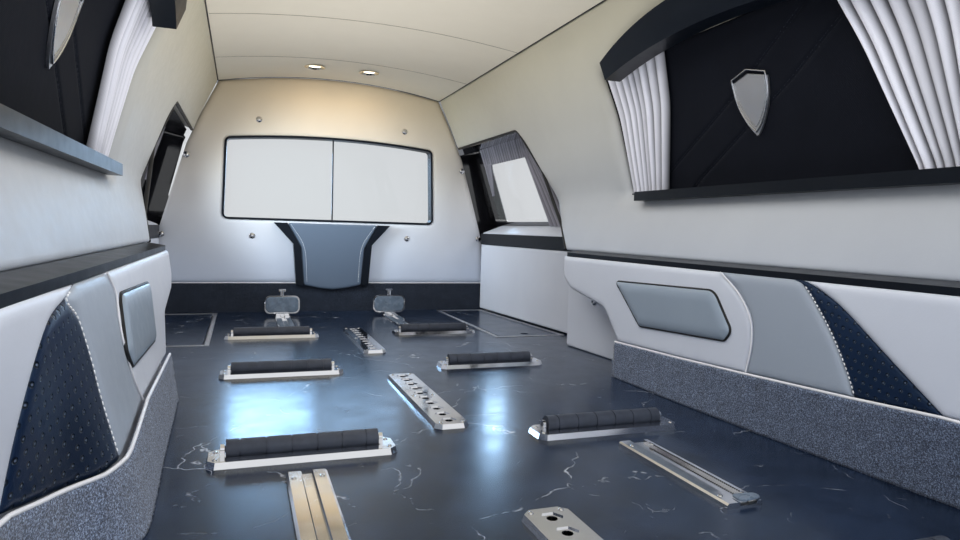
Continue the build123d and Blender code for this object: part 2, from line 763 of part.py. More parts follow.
def cover_leather(cover):
    """The perforated leather panel between its rear edge and the stitched seam."""
    return [cover_panel(cover, cover[4], cover[3])]


def carpet(cover):
    """The carpeted band along a cover's foot and round its front."""
    band = carpet_band(cover, -CARPET_THICK - GAP, -GAP)
    front = cover[1][-1][0]
    end = box(WITHIN, CARPET_END, front, front + CARPET_THICK, 0, CARPET_END_HIGH)
    return [band + (end & behind_face(cover, -CARPET_THICK - GAP))]


def pocket_right():
    """The flat panel ahead of the cover, below its arm."""
    (rear_x, rear_y), (front_x, front_y) = POCKET_REAR, POCKET_FRONT
    inner = [(rear_x, rear_y, 0), (front_x, front_y, 0)]
    outer = [(front_x + POCKET_THICK, front_y, 0), (rear_x + POCKET_THICK, rear_y, 0)]
    plan = make_face(Polyline(*(inner + outer), close=True))
    return extrude(plan, amount=POCKET_TOP, dir=(0, 0, 1)) - cover_shadow()


def cover_shadow():
    """The space of the cover's arm, grown so that the panel stays clear of it."""
    front = [(y + SHADOW_AHEAD, z - SHADOW_BELOW) for y, z in COVER_FRONT[:-1]]
    top = COVER_FRONT[-1][1]
    points = [(COVER_REAR, -SHADOW_BELOW)] + front + [(front[-1][0], top), (COVER_REAR, top)]
    return across(points, COVER_INNER, SHELL_INNER)


def deck():
    """The floor board, cut round the wheelhouses, the hatches and the pin plates' slots."""
    board = box(-SHELL_INNER + GAP, SHELL_INNER - GAP, 0, LENGTH - 100, -DECK_THICK, 0)
    for side in (1, -1):
        tub = tub_block(2)
        hatch = hatch_prism(0)
        door = box(DOOR_INNER - DOOR_GAP, BEYOND, DOOR_REAR_LOW - 60, DOOR_FRONT + 40, -DECK_THICK - 1, 1)
        for cut in (tub, hatch, door):
            board -= cut if side == 1 else left_of(cut)
    for start in PIN_PLATES:
        first = start + (PIN_PLATE_LONG - PIN_PITCH * (PIN_COUNT - 1)) / 2
        last = first + PIN_PITCH * (PIN_COUNT - 1)
        wide = PIN_SLOT_WIDE / 2
        board -= box(-wide, wide, first - 2 * PIN_HOLE_R, last + 2 * PIN_HOLE_R, -DECK_THICK - 1, 1)
    return board


def hatch_outline(inset):
    """The hatch's corners in plan."""
    return [(HATCH_INNER + inset, HATCH_REAR + inset), (HATCH_OUTER_REAR - inset, HATCH_REAR + inset),
            (HATCH_OUTER_FRONT - inset, HATCH_FRONT - inset), (HATCH_INNER + inset, HATCH_FRONT - inset)]


def hatch_prism(inset, z0=-60, z1=20):
    plan = make_face(Polyline(*[(x, y, z0) for x, y in hatch_outline(inset)], close=True))
    return extrude(plan, amount=z1 - z0, dir=(0, 0, 1))


def hatch_frame_right():
    """The bright frame that lines the hatch, with a ledge under the lid."""
    rim = hatch_prism(GAP, -DECK_THICK, 1.5) - hatch_prism(HATCH_RIM, -DECK_THICK - 1, 3)
    ledge = hatch_prism(GAP, -DECK_THICK, -HATCH_LID - GAP)
    ledge -= hatch_prism(HATCH_RIM + HATCH_LEDGE, -DECK_THICK - 5, 3)
    return rim + ledge - hatch_pin(HATCH_PIN_R + HATCH_PIN_CLEAR, HATCH_PIN_LONG + 1)


def hatch_pin(radius, beyond):
    """A round bar on the lid's hinge axis, past both of its ends by a length."""
    rear = HATCH_REAR + HATCH_RIM + HATCH_GAP - beyond
    front = HATCH_FRONT - HATCH_RIM - HATCH_GAP + beyond
    x = HATCH_INNER + HATCH_RIM + HATCH_GAP + HATCH_LID / 2
    bar = Cylinder(radius, front - rear, rotation=(90, 0, 0))
    return bar.moved(Location((x, (rear + front) / 2, -HATCH_LID / 2)))


def hatch_bin_right():
    """The pressed bin under the hatch, hung by its flange under the deck."""
    outer = hatch_prism(HATCH_RIM, -BIN_DEEP, -DECK_THICK - GAP)
    outer += hatch_prism(-BIN_FLANGE, -DECK_THICK - GAP - BIN_SHEET, -DECK_THICK - GAP)
    return outer - hatch_prism(HATCH_RIM + BIN_SHEET, -BIN_DEEP + BIN_SHEET, 0)


def hatch_lid_right():
    """The board of the hatch, with its pins at the rounded inner edge and a round finger pull."""
    inset = HATCH_RIM + HATCH_GAP
    axis_x = HATCH_INNER + inset + HATCH_LID / 2
    lid = hatch_prism(inset, -HATCH_LID, 0) & box(axis_x, BEYOND, 0, LENGTH, -HATCH_LID, 0)
    lid += hatch_pin(HATCH_LID / 2, 0) + hatch_pin(HATCH_PIN_R, HATCH_PIN_LONG)
    middle = (HATCH_INNER + HATCH_OUTER_REAR) / 2
    pull_y = HATCH_REAR + inset + 3 * HATCH_PULL_R
    pull = Cylinder(HATCH_PULL_R, HATCH_LID).moved(Location((middle, pull_y, 0)))
    return lid - pull


def clipped_plate(x0, x1, y0, y1, high):
    """A plate with clipped corners and bevelled sides, narrower at its top."""
    c = TRAY_CORNER
    right = [(x1 - c, y0, 0), (x1, y0 + c, 0), (x1, y1 - c, 0), (x1 - c, y1, 0)]
    left = [(x0 + c, y1, 0), (x0, y1 - c, 0), (x0, y0 + c, 0), (x0 + c, y0, 0)]
    plan = make_face(Polyline(*(right + left), close=True))
    return extrude(plan, amount=high, dir=(0, 0, 1), taper=BEVEL)


def tray(x, y):
    """A chrome tray with clipped corners, a trough for the roller and its two bearings."""
    half = TRAY_LONG / 2
    wide = TRAY_WIDE / 2
    plate = clipped_plate(-half, half, -wide, wide, TRAY_HIGH)
    long = roller_length() / 2 + TROUGH_END
    reach = ROLLER_R + TROUGH_SIDE
    plate -= box(-long, long, ROLLER_FORWARD - reach, ROLLER_FORWARD + reach, TROUGH_FLOOR, 2 * ROLLER_AXIS_Z)
    for side in (-1, 1):
        lug = box(-LUG_THICK / 2, LUG_THICK / 2, -LUG_R, LUG_R, TROUGH_FLOOR - ROLLER_AXIS_Z, 0)
        lug += Cylinder(LUG_R, LUG_THICK, rotation=(0, 90, 0))
        plate += lug.moved(Location((side * (long + LUG_THICK / 2), ROLLER_FORWARD, ROLLER_AXIS_Z)))
    bore = Cylinder(AXLE_R + AXLE_CLEAR, TRAY_LONG, rotation=(0, 90, 0))
    plate -= bore.moved(Location((0, ROLLER_FORWARD, ROLLER_AXIS_Z)))
    return plate.moved(Location((x, y, 0)))


def roller_length():
    return 5 * ROLLER_LONG + 2 * ROLLER_SHORT + 6 * ROLLER_GROOVE


def roller(x, y):
    """A rubber roller in seven lengths on a steel axle."""
    half = roller_length() / 2
    low = ROLLER_R - ROLLER_GROOVE_DEPTH
    points = [(-half - AXLE_STUB, 0), (-half - AXLE_STUB, AXLE_R), (-half, AXLE_R)]
    at = -half
    lengths = [ROLLER_SHORT] + [ROLLER_LONG] * 5 + [ROLLER_SHORT]
    for i, long in enumerate(lengths):
        points += [(at, ROLLER_R), (at + long, ROLLER_R)]
        if i < len(lengths) - 1:
            points += [(at + long, low), (at + long + ROLLER_GROOVE, low)]
        at += long + ROLLER_GROOVE
    points += [(half, AXLE_R), (half + AXLE_STUB, AXLE_R), (half + AXLE_STUB, 0)]
    face = make_face(Polyline(*[(a, 0, r) for a, r in points], close=True))
    body = revolve(face, axis=Axis.X)
    return body.moved(Location((x, y + ROLLER_FORWARD, ROLLER_AXIS_Z)))


def pin_plate(start):
    """A drilled plate: bevelled edge, clipped corners and a row of holes in hexagon recesses."""
    half = PIN_PLATE_WIDE / 2
    plate = clipped_plate(-half, half, 0, PIN_PLATE_LONG, PIN_PLATE_HIGH)
    first = (PIN_PLATE_LONG - PIN_PITCH * (PIN_COUNT - 1)) / 2
    for i in range(PIN_COUNT):
        y = first + i * PIN_PITCH
        hexagon = RegularPolygon(PIN_HEX_ACROSS / 2, 6, major_radius=False)
        recess = extrude(hexagon, amount=20).moved(Location((0, y, PIN_PLATE_HIGH - PIN_HEX_DEEP)))
        hole = Cylinder(PIN_HOLE_R, 40).moved(Location((0, y, 0)))
        plate -= recess
        plate -= hole
    return plate.moved(Location((0, start, 0)))


def track(x, y0, y1):
    """A slotted track plate with a groove along its middle."""
    half = TRACK_WIDE / 2
    slot = TRACK_SLOT / 2
    groove = TRACK_HIGH - TRACK_SLOT_DEEP
    right = [(half, 0), (half, TRACK_HIGH - 3), (half - 4, TRACK_HIGH), (slot + 2, TRACK_HIGH),
             (slot, TRACK_HIGH - 2), (slot, groove)]
    points = right + [(-a, z) for a, z in reversed(right)]
    bar = along(section(Polyline(*[xz(p) for p in points], close=True)), y0, y1)
    return bar.moved(Location((x, 0, 0)))


def channel(x, y0, y1):
    """The open channel of the right rear track: a broad rail, a low bed and a narrow rail."""
    half = TRACK_WIDE / 2
    broad = CHANNEL_BROAD - half
    narrow = half - CHANNEL_NARROW
    rail = TRACK_HIGH - 1
    points = [(-half, 0), (half, 0), (half, rail - 2), (half - 2, rail), (narrow, rail),
              (narrow, CHANNEL_BED), (broad, CHANNEL_BED), (broad, TRACK_HIGH), (3 - half, TRACK_HIGH),
              (-half, TRACK_HIGH - 3)]
    bar = along(section(Polyline(*[xz(p) for p in points], close=True)), y0, y1)
    return bar.moved(Location((x, 0, 0)))


def stop(x):
    """A casket stop: a saddle on the track with its key, a padded paddle and a lug on a stem."""
    wide, high = STOP_PAD
    foot = TRACK_HIGH + GAP
    base = STOP_BASE_LONG / 2
    saddle = box(-TRACK_WIDE / 2 + 6, TRACK_WIDE / 2 - 6, -base, base, foot, foot + STOP_BASE_THICK)
    slot = TRACK_SLOT / 2 - 1
    key = box(-slot, slot, -base, base, TRACK_HIGH - TRACK_SLOT_DEEP + 1, foot + 1)
    outline = RectangleRounded(wide, high, STOP_PAD_ROUND)
    paddle = extrude(outline, amount=STOP_PAD_THICK / 2, both=True).rotate(Axis.X, 90)
    low = foot + STOP_BASE_THICK / 2
    paddle = paddle.moved(Location((0, 0, low + high / 2)))
    stem = Cylinder(STOP_STEM_R, STOP_STEM_LONG).moved(Location((0, 0, low + high + STOP_STEM_LONG / 4)))
    lug = Box(*STOP_LUG).moved(Location((0, 0, low + high + STOP_STEM_LONG * 3 / 4)))
    whole = saddle + key + paddle + stem + lug
    return whole.moved(Location((x, STOP_Y, 0)))


def partition_outline(inset):
    """The partition's cross-section: sides as the wall, arched at its head."""
    line = [(x - inset, z) for x, z in PARTITION_LINE]
    line[0] = (line[0][0], 0)
    right = Polyline(*[xz(p) for p in line])
    left = Polyline(*[(-x, 0, z) for x, z in line])
    head = ThreePointArc(xz(line[-1]), (0, 0, CEILING_TOP - inset), (-line[-1][0], 0, line[-1][1]))
    foot = Line(xz(line[0]), (-line[0][0], 0, 0))
    return section(right, head, left, foot)


def window_outline(inset):
    """The partition window: gently arched head and rounded corners."""
    foot = WINDOW_FOOT + inset
    corners = [(WINDOW_FOOT_X - inset, foot), (WINDOW_HEAD_X - inset, WINDOW_HEAD - inset)]
    right = Line(xz(corners[0]), xz(corners[1]))
    left = Line((-corners[0][0], 0, foot), (-corners[1][0], 0, corners[1][1]))
    head = ThreePointArc(xz(corners[1]), (0, 0, WINDOW_ARCH - inset), (-corners[1][0], 0, corners[1][1]))
    low = Line(xz(corners[0]), (-corners[0][0], 0, foot))
    face = section(right, head, left, low)
    return fillet(face.vertices(), max(WINDOW_ROUND - inset, 4))


def partition():
    """The padded wall behind the driver, with its window cut through."""
    panel = along(partition_outline(GAP), PARTITION_Y + GAP, PARTITION_Y + PARTITION_THICK)
    return panel - along(window_outline(0), PARTITION_Y - 5, PARTITION_Y + PARTITION_THICK + 5)


def partition_frame():
    """The thin black frame of the partition window, with the rail between its two panes."""
    depth = PARTITION_Y + PARTITION_THICK
    ring = along(window_outline(GAP), PARTITION_Y - FRAME_PROUD, depth)
    ring -= along(window_outline(WINDOW_FRAME), PARTITION_Y - 2 * FRAME_PROUD, depth + FRAME_PROUD)
    wide = PANE_SPLIT / 2
    rear = PARTITION_Y + PANE_BACK
    bar = box(-wide, wide, rear - 2, rear + PANE_THICK + 1, WINDOW_FOOT + 4, WINDOW_ARCH - 4)
    return ring + (bar & along(window_outline(4), PARTITION_Y, depth))


def partition_panes():
    """Two panes, each in its half of the frame."""
    rear = PARTITION_Y + PANE_BACK
    sheet = along(window_outline(WINDOW_FRAME + GAP), rear, rear + PANE_THICK)
    split = PANE_SPLIT / 2 + GAP
    right = sheet & box(split, BEYOND, 0, LENGTH, 0, CROWN_TOP)
    left = sheet & box(-BEYOND, -split, 0, LENGTH, 0, CROWN_TOP)
    return right, left


def kickboard():
    """The carpeted strip across the foot of the partition."""
    strip = along(partition_outline(GAP), PARTITION_Y - KICK_THICK, PARTITION_Y)
    return strip & box(-BEYOND, BEYOND, 0, LENGTH, 0, KICK_HIGH)


def console_wedge():
    """The grey wedge under the window, and its two gloss black edges."""
    right = [xz(p) for p in CONSOLE_LINE]
    left = [(-p[0], 0, p[1]) for p in reversed(CONSOLE_LINE[:-1])]
    face = make_face(Polyline(*(right + left), close=True))
    wedge = along(face, PARTITION_Y - CONSOLE_DEPTH, PARTITION_Y)
    wedge -= box(-BEYOND, BEYOND, PARTITION_Y - KICK_THICK - GAP, PARTITION_Y + 1, 0, KICK_HIGH + GAP)
    return wedge


def console_edges():
    """The gloss edge down each side of the wedge."""
    top, kink, low = CONSOLE_LINE[:3]
    outer = CONSOLE_TOP[1][0]
    points = [(top[0] + GAP, top[1]), (kink[0] + GAP, kink[1]), (low[0] + GAP, low[1]),
              (low[0] + CONSOLE_EDGE, low[1] - 2), (kink[0] + CONSOLE_EDGE, kink[1] + 14), (outer, top[1])]
    face = make_face(Polyline(*[xz(p) for p in points], close=True))
    bar = along(face, PARTITION_Y - CONSOLE_DEPTH - 4, PARTITION_Y)
    bar -= box(-BEYOND, BEYOND, PARTITION_Y - KICK_THICK - GAP, PARTITION_Y + 1, 0, KICK_HIGH + GAP)
    return bar, left_of(bar)


def door_region():
    """The space between the door's inner face and the skin."""
    block = body_block(0, 0, LENGTH)
    waist = box(0, DOOR_INNER, 0, LENGTH, SILL[1] - 1, DOOR_WAIST)
    above = body_block(DOOR_RING, -1, LENGTH + 1) & box(0, BEYOND, -1, LENGTH + 1, DOOR_WAIST, CROWN_TOP)
    return block - waist - above


def door_window(grow, x0=WITHIN, x1=BEYOND):
    """The door glass outline, which follows the slope of the door's rear edge."""
    front = DOOR_FRONT - DOOR_GLASS_END + grow
    points = ((DOOR_GLASS_REAR - grow, DOOR_GLASS_FOOT - grow), (front, DOOR_GLASS_FOOT - grow),
              (front, DOOR_GLASS_HEAD + grow), (DOOR_GLASS_HEAD_REAR - grow, DOOR_GLASS_HEAD + grow),
              (DOOR_GLASS_KNEE[0] - grow, DOOR_GLASS_KNEE[1] + grow))
    return across(points, x0, x1, rounds=(14, 14, 14, 30, 0))


def upright(radius, z0, z1):
    """A round bar on the door hinge's axis."""
    bar = Cylinder(radius, z1 - z0)
    return bar.moved(Location((DOOR_HINGE_X, DOOR_HINGE_Y, (z0 + z1) / 2)))


def door_right():
    """The door: a thick lower panel, a window frame that follows the skin, and its hinge knuckles."""
    leaf = door_region() & door_prism(DOOR_GAP)
    leaf -= door_window(0)
    for z in DOOR_HINGE_Z:
        half = HINGE_KNUCKLE / 2
        reach = half + HINGE_PLAY + HINGE_FIXED + DOOR_GAP
        leaf -= upright(HINGE_R + DOOR_GAP, z - reach, z + reach)
        root = DOOR_HINGE_X - HINGE_ARM
        arm = box(root, DOOR_HINGE_X, DOOR_HINGE_Y - HINGE_R, DOOR_HINGE_Y, z - half, z + half)
        leaf += upright(HINGE_R, z - half, z + half) + (arm & body_block(0, 0, LENGTH))
        leaf -= upright(HINGE_PIN_R + HINGE_PIN_CLEAR, z - reach, z + reach)
    return leaf


def door_hinges_right():
    """The fixed halves of the door's hinges: a leaf on the skin, two knuckles and the pin."""
    skin = body_block(-HINGE_LEAF, 0, LENGTH) - body_block(-GAP, 0, LENGTH)
    hinges = []
    for z in DOOR_HINGE_Z:
        near = HINGE_KNUCKLE / 2 + HINGE_PLAY
        far = near + HINGE_FIXED
        leaf = skin & box(WITHIN, BEYOND, DOOR_HINGE_Y, DOOR_HINGE_Y + HINGE_LEAF_LONG, z - far, z + far)
        leaf -= upright(HINGE_R + DOOR_GAP, z - near, z + near)
        hinge = leaf + upright(HINGE_PIN_R, z - far, z + far)
        hinge += upright(HINGE_R, z + near, z + far) + upright(HINGE_R, z - far, z - near)
        hinges.append(hinge)
    return hinges


def door_glass_right():
    band = body_block(DOOR_GLASS_BACK, 0, LENGTH) - body_block(DOOR_GLASS_BACK + GLASS_THICK, 0, LENGTH)
    return band & door_window(-GAP)


def door_panel(start, proud, low, high):
    """An upright panel on the door's inner face, thicker at the front, between two heights."""
    slope = (TRIM_REAR_X - TRIM_FRONT_X) / (PARTITION_Y - DOOR_REAR_LOW)
    rear = DOOR_REAR_LOW + start
    front = PARTITION_Y - KICK_THICK - DOOR_GAP
    back = DOOR_INNER - GAP
    x_rear = TRIM_REAR_X - slope * (rear - DOOR_REAR_LOW) - proud
    x_front = TRIM_REAR_X - slope * (front - DOOR_REAR_LOW) - proud
    corners = [(x_front, front, low), (back, front, low), (back, rear, low), (x_rear, rear, low)]
    plan = make_face(Polyline(*corners, close=True))
    return extrude(plan, amount=high - low, dir=(0, 0, 1))


def door_trim_right():
    """The padded inner panel of the door."""
    return door_panel(TRIM_START, 0, TRIM_LOW, TRIM_HIGH)


def door_band_right():
    """The gloss band along the door's waist."""
    return door_panel(BAND_START, BAND_PROUD, TRIM_HIGH + GAP, BAND_HIGH)


def door_curtain_right():
    """The gathered curtain at the rear of the door's glass, as a plain slab."""
    slab = body_block(DOOR_RING + GAP, 0, LENGTH) - body_block(DOOR_RING + CURTAIN_THICK, 0, LENGTH)
    low_rear, low_front, low = DOOR_CURTAIN_LOW
    high_rear, high_front, high = DOOR_CURTAIN_HIGH
    points = ((low_rear, low), (low_front, low), (high_front, high), (high_rear, high), DOOR_CURTAIN_KNEE)
    return slab & across(points, WITHIN, BEYOND)


def hat(y, reach):
    """A cross-member of hat section under the floor pan."""
    half = CROSS_WIDE / 2
    wide = half + CROSS_FLANGE
    top = -DECK_THICK - GAP
    flange = top - CROSS_SHEET
    foot = top - CROSS_DEEP
    low = half - CROSS_LEAN
    points = [(-wide, top), (wide, top), (wide, flange), (half, flange), (low, foot), (-low, foot),
              (-half, flange), (-wide, flange)]
    face = make_face(Polyline(*[(0, y + a, z) for a, z in points], close=True))
    bar = extrude(face, amount=reach, dir=(1, 0, 0), both=True)
    inner = half - CROSS_SHEET
    floor = low - CROSS_SHEET
    points = [(inner, top + 1), (floor, foot + CROSS_SHEET), (-floor, foot + CROSS_SHEET), (-inner, top + 1)]
    hollow = make_face(Polyline(*[(0, y + a, z) for a, z in points], close=True))
    return bar - extrude(hollow, amount=SHELL_INNER, dir=(1, 0, 0), both=True)


def sill_plate():
    """The bright ribbed rubbing strip at the rear edge of the deck."""
    half = COVER_INNER - CARPET_THICK - 3
    wide = SILL_PLATE_WIDE
    points = [(0, GAP), (0, SILL_PLATE_THICK), (wide - 6, SILL_PLATE_THICK), (wide, GAP)]
    face = make_face(Polyline(*[yz(p) for p in points], close=True))
    plate = extrude(face, amount=half, dir=(1, 0, 0), both=True)
    for i in range(SILL_PLATE_RIBS):
        y = SILL_PLATE_PITCH * (i + 1)
        plate -= box(-half + 30, half - 30, y - 2, y + 2, SILL_PLATE_THICK - 1, SILL_PLATE_THICK + 1)
    return plate


def underframe():
    """Two box rails on the ground with their bolt holes, and hat cross-members under the deck."""
    top = -DECK_THICK - GAP
    foot = -DECK_TOP
    near = RAIL_X - RAIL_WIDE / 2
    far = RAIL_X + RAIL_WIDE / 2
    rail = box(near, far, 20, LENGTH - 20, foot, top)
    rail -= box(near + RAIL_WALL, far - RAIL_WALL, 0, LENGTH, foot + RAIL_WALL, top - RAIL_WALL)
    for y in BOLT_STATIONS:
        rail -= Cylinder(BOLT_R, 3 * RAIL_WALL).moved(Location((RAIL_X, y, foot)))
    frame = rail + left_of(rail)
    for y, reach in CROSS_LONG:
        frame += hat(y, reach)
    return frame


def main():
    os.makedirs("parts", exist_ok=True)
    right_sides = {
        "side_shell": shell_right(),
        "door": door_right(),
        "door_trim": door_trim_right(),
        "door_band": door_band_right(),
        "door_glass": door_glass_right(),
        "door_curtain": door_curtain_right(),
        "hatch_lid": hatch_lid_right(),
    }
    for name, shape in right_sides.items():
        save(name + "_right", shape)
        save(name + "_left", left_of(shape))
    for name, shape in {
        "padded_walls": wall_right(),
        "wheelhouses": wheelhouse_right(),
        "belt_mouldings": belt_right(),
        "window_sills": sill_right(),
        "window_valances": valance_right(),
        "window_boards": board_right(),
        "window_shields": shield_right(),
        "side_glass": side_glass_right(),
        "pocket_panels": pocket_right(),
        "hatch_frames": hatch_frame_right(),
        "hatch_bins": hatch_bin_right(),
    }.items():
        save(name, shape, left_of(shape))
    hinges = door_hinges_right()
    save("door_hinges", *(hinges + [left_of(hinge) for hinge in hinges]))
    front = curtain(*FRONT_CURTAIN)
    rear = curtain(*REAR_CURTAIN)
    save("window_curtains", front, rear, left_of(front), left_of(rear))
    for name, make in (("wheel_covers", carcass), ("cover_leather", cover_leather), ("cover_carpets", carpet),
                       ("cover_panels", cover_panels), ("cover_pads", cover_pads)):
        save(name, *make(RIGHT_COVER), *[left_of(piece) for piece in make(LEFT_COVER)])
    save("roof", roof())
    save("headliner", headliner())
    save("downlights", downlight(1), downlight(-1))
    save("deck", deck())
    save("sill_plate", sill_plate())
    save("underframe", underframe())
    trays = []
    for row, y in enumerate(ROLLER_ROWS, start=1):
        for side, label in ((1, "right"), (-1, "left")):
            trays.append(tray(side * ROLLER_X, y))
            save("roller_" + str(row) + "_" + label, roller(side * ROLLER_X, y))
    save("roller_trays", *trays)
    save("pin_plates", *[pin_plate(start) for start in PIN_PLATES])
    tracks = []
    for x, y0, y1 in (REAR_TRACK, FRONT_TRACK):
        tracks.append(track(-x, y0, y1))
    tracks.append(channel(*REAR_TRACK))
    tracks.append(track(*FRONT_TRACK))
    save("track_plates", *tracks)
    save("stop_right", stop(FRONT_TRACK[0]))
    save("stop_left", stop(-FRONT_TRACK[0]))
    save("partition", partition())
    save("partition_frame", partition_frame())
    save("partition_panes", *partition_panes())
    save("kickboard", kickboard())
    save("console", console_wedge())
    save("console_edges", *console_edges())


main()
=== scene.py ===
import math
import random

import bpy
import numpy as np
from mathutils import Matrix, Vector
from mathutils.geometry import delaunay_2d_cdt


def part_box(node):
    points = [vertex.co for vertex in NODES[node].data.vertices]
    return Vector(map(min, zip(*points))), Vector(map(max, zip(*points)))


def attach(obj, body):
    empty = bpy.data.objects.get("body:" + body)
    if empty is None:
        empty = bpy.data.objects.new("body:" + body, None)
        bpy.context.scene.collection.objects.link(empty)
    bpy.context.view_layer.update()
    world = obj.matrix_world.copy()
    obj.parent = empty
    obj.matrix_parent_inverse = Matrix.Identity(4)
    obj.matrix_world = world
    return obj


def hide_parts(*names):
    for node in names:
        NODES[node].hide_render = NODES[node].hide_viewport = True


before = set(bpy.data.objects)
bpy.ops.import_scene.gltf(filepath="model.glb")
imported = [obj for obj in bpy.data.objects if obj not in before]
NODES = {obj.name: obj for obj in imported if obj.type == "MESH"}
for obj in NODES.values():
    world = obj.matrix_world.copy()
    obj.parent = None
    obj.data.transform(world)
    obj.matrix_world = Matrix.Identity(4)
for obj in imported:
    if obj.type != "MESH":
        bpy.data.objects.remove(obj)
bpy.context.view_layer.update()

# Casket compartment of a hearse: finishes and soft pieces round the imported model. Metres.
# Places are given as x from the middle, s forward from the rear sill, z up from the deck's top.

BODY = "compartment"
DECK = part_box("deck")[1][2]
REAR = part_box("side_shell_right")[0][1]
SIDES = {"right": 1, "left": -1}


def mm(value):
    """Millimetres, single or nested in tuples, as metres."""
    return tuple(mm(part) for part in value) if isinstance(value, tuple) else value / 1000


# Driving sizes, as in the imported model
WALL_LINE = mm(((655, 350, 0), (702, 530, 60), (642, 760, 400), (579, 910, 400), (515, 1047, 0)))
WALL_END = 3.088
WALL_TOP = 1.047
BELT_TOP = 0.35
BELT_BOTTOM = 0.331
RECESS = mm(((560, 530), (1615, 530), (1637, 886), (582, 886)))
DOOR_OPENING = mm(((1925, 350), (2010, 430), (2190, 643), (2330, 812), (3088, 818)))
BOARD_DEPTH = 0.034
COVER_X = 0.6
COVER_FRONT = mm(((1470, 85), (1560, 190), (1780, 228), (1834, 262), (1834, 331)))
COVER_REAR = 0.06
COVER_END = 1.479
# Each cover: does its face lean with the carpet's foot, its carpet (s, top, foot's shift), seams and inset pad
COVERS = {
    "right": {
        "lean": False,
        "carpet": mm(((60, 147, 76), (300, 146, 60), (543, 143, 43), (701, 133, 31), (966, 120, 15), (1200, 110, 6),
                      (1479, 101, 0))),
        "piped": mm(((1060, 331), (1000, 290), (960, 240), (953, 185), (966, 120))),
        "stitched": mm(((850, 331), (822, 318), (765, 250), (722, 180), (701, 133))),
        "leather": mm(((850, 331), (815, 327), (740, 290), (640, 215), (543, 143))),
        "inset": mm(((1497, 275, 6), (1075, 288, 40), (1012, 205, 16), (1033, 180, 12), (1366, 164, 14))),
    },
    "left": {
        "lean": True,
        "carpet": mm(((60, 147, 76), (300, 140, 60), (560, 129, 41), (610, 120, 16), (665, 112, -5), (720, 104, -46),
                      (784, 102, -65), (896, 107, -62), (1040, 114, -56), (1479, 107, -44))),
        "piped": mm(((950, 331), (985, 297), (969, 262), (966, 217), (993, 160), (1040, 114))),
        "stitched": mm(((760, 331), (706, 318), (739, 293), (757, 244), (765, 190), (784, 102))),
        "leather": mm(((760, 331), (700, 317), (640, 300), (602, 262), (575, 200), (560, 129))),
        "inset": mm(((1330, 284, 6), (1000, 294, 30), (962, 210, 16), (984, 182, 12), (1288, 172, 14))),
    },
}
PARTITION_LINE = mm(((785, 134), (767, 350), (712, 540), (647, 760), (582, 910), (515, 1047)))
CEILING_TOP = 1.1
WINDOW = mm(((498, 428), (486, 800)))
WINDOW_ARCH = 0.827
LIGHT_S = 2.843
LIGHT_X = (-0.118, 0.118)
UP = Vector((0, 0, 1))
REARWARD = Vector((0, -1, 0))


def at(x, s, z):
    """A point in the row frame."""
    return Vector((x, REAR + s, DECK + z))


# Materials

def put(tree, socket, source):
    """Link a socket to its source or set its value; colours are given without alpha."""
    if isinstance(source, bpy.types.NodeSocket):
        tree.links.new(source, socket)
    else:
        socket.default_value = (*source, 1) if socket.type == "RGBA" else source


def add_node(tree, kind, inputs, **attributes):
    made = tree.nodes.new(kind)
    for key, attribute in attributes.items():
        setattr(made, key, attribute)
    for key, source in inputs.items():
        put(tree, made.inputs[key], source)
    return made


class Finish:
    """A Principled material with short calls for its nodes."""

    def __init__(self, name, colour, rough, metal=0, **sockets):
        self.mat = bpy.data.materials.new(name)
        self.mat.use_nodes = True
        self.mat.diffuse_color = (*colour, 1)
        self.tree = self.mat.node_tree
        self.normal = None
        self.feed(Base_Color=colour, Roughness=rough, Metallic=metal, **sockets)

    def feed(self, **sockets):
        for name, source in sockets.items():
            put(self.tree, self.tree.nodes["Principled BSDF"].inputs[name.replace("_", " ")], source)

    def node(self, kind, inputs, output=0, **attributes):
        return add_node(self.tree, kind, inputs, **attributes).outputs[output]

    def coords(self, scale=(1, 1, 1), turn=(0, 0, 0)):
        place = self.node("ShaderNodeTexCoord", {}, "Object")
        return self.node("ShaderNodeMapping", {"Vector": place, "Scale": scale, "Rotation": turn})

    def axes(self, vector):
        return add_node(self.tree, "ShaderNodeSeparateXYZ", {0: vector}).outputs

    def noise(self, scale, detail=3, vector=None, rough=0.55, output="Fac"):
        inputs = {"Vector": vector or self.coords(), "Scale": scale, "Detail": detail, "Roughness": rough}
        return self.node("ShaderNodeTexNoise", inputs, output)

    def cells(self, scale, vector=None, feature="F1"):
        inputs = {"Vector": vector or self.coords(), "Scale": scale}
        return self.node("ShaderNodeTexVoronoi", inputs, "Distance", feature=feature)

    def ramp(self, factor, *stops):
        made = add_node(self.tree, "ShaderNodeValToRGB", {"Fac": factor})
        ends = made.color_ramp.elements
        for element, (position, colour) in ((ends[0], stops[0]), (ends[1], stops[-1])):
            element.position, element.color = position, (*colour, 1)
        for position, colour in stops[1:-1]:
            ends.new(position).color = (*colour, 1)
        return made.outputs["Color"]

    def maths(self, operation, *values):
        return self.node("ShaderNodeMath", dict(enumerate(values)), operation=operation)

    def mix(self, factor, a, b, kind="MIX"):
        return self.node("ShaderNodeMix", {0: factor, 6: a, 7: b}, 2, data_type="RGBA", blend_type=kind)

    def between(self, value, low, high, start=0, end=1):
        """Start up to the low value, end from the high one on."""
        inputs = {"Value": value, "From Min": low, "From Max": high, "To Min": start, "To Max": end}
        return self.node("ShaderNodeMapRange", inputs, clamp=True)

    def uneven(self, value, smooth, rough, low=0.3, high=0.7):
        self.feed(Roughness=self.between(value, low, high, smooth, rough))

    def bump(self, height, strength, distance):
        inputs = {"Height": height, "Strength": strength, "Distance": distance}
        if self.normal:
            inputs["Normal"] = self.normal
        self.normal = self.node("ShaderNodeBump", inputs)
        self.feed(Normal=self.normal)


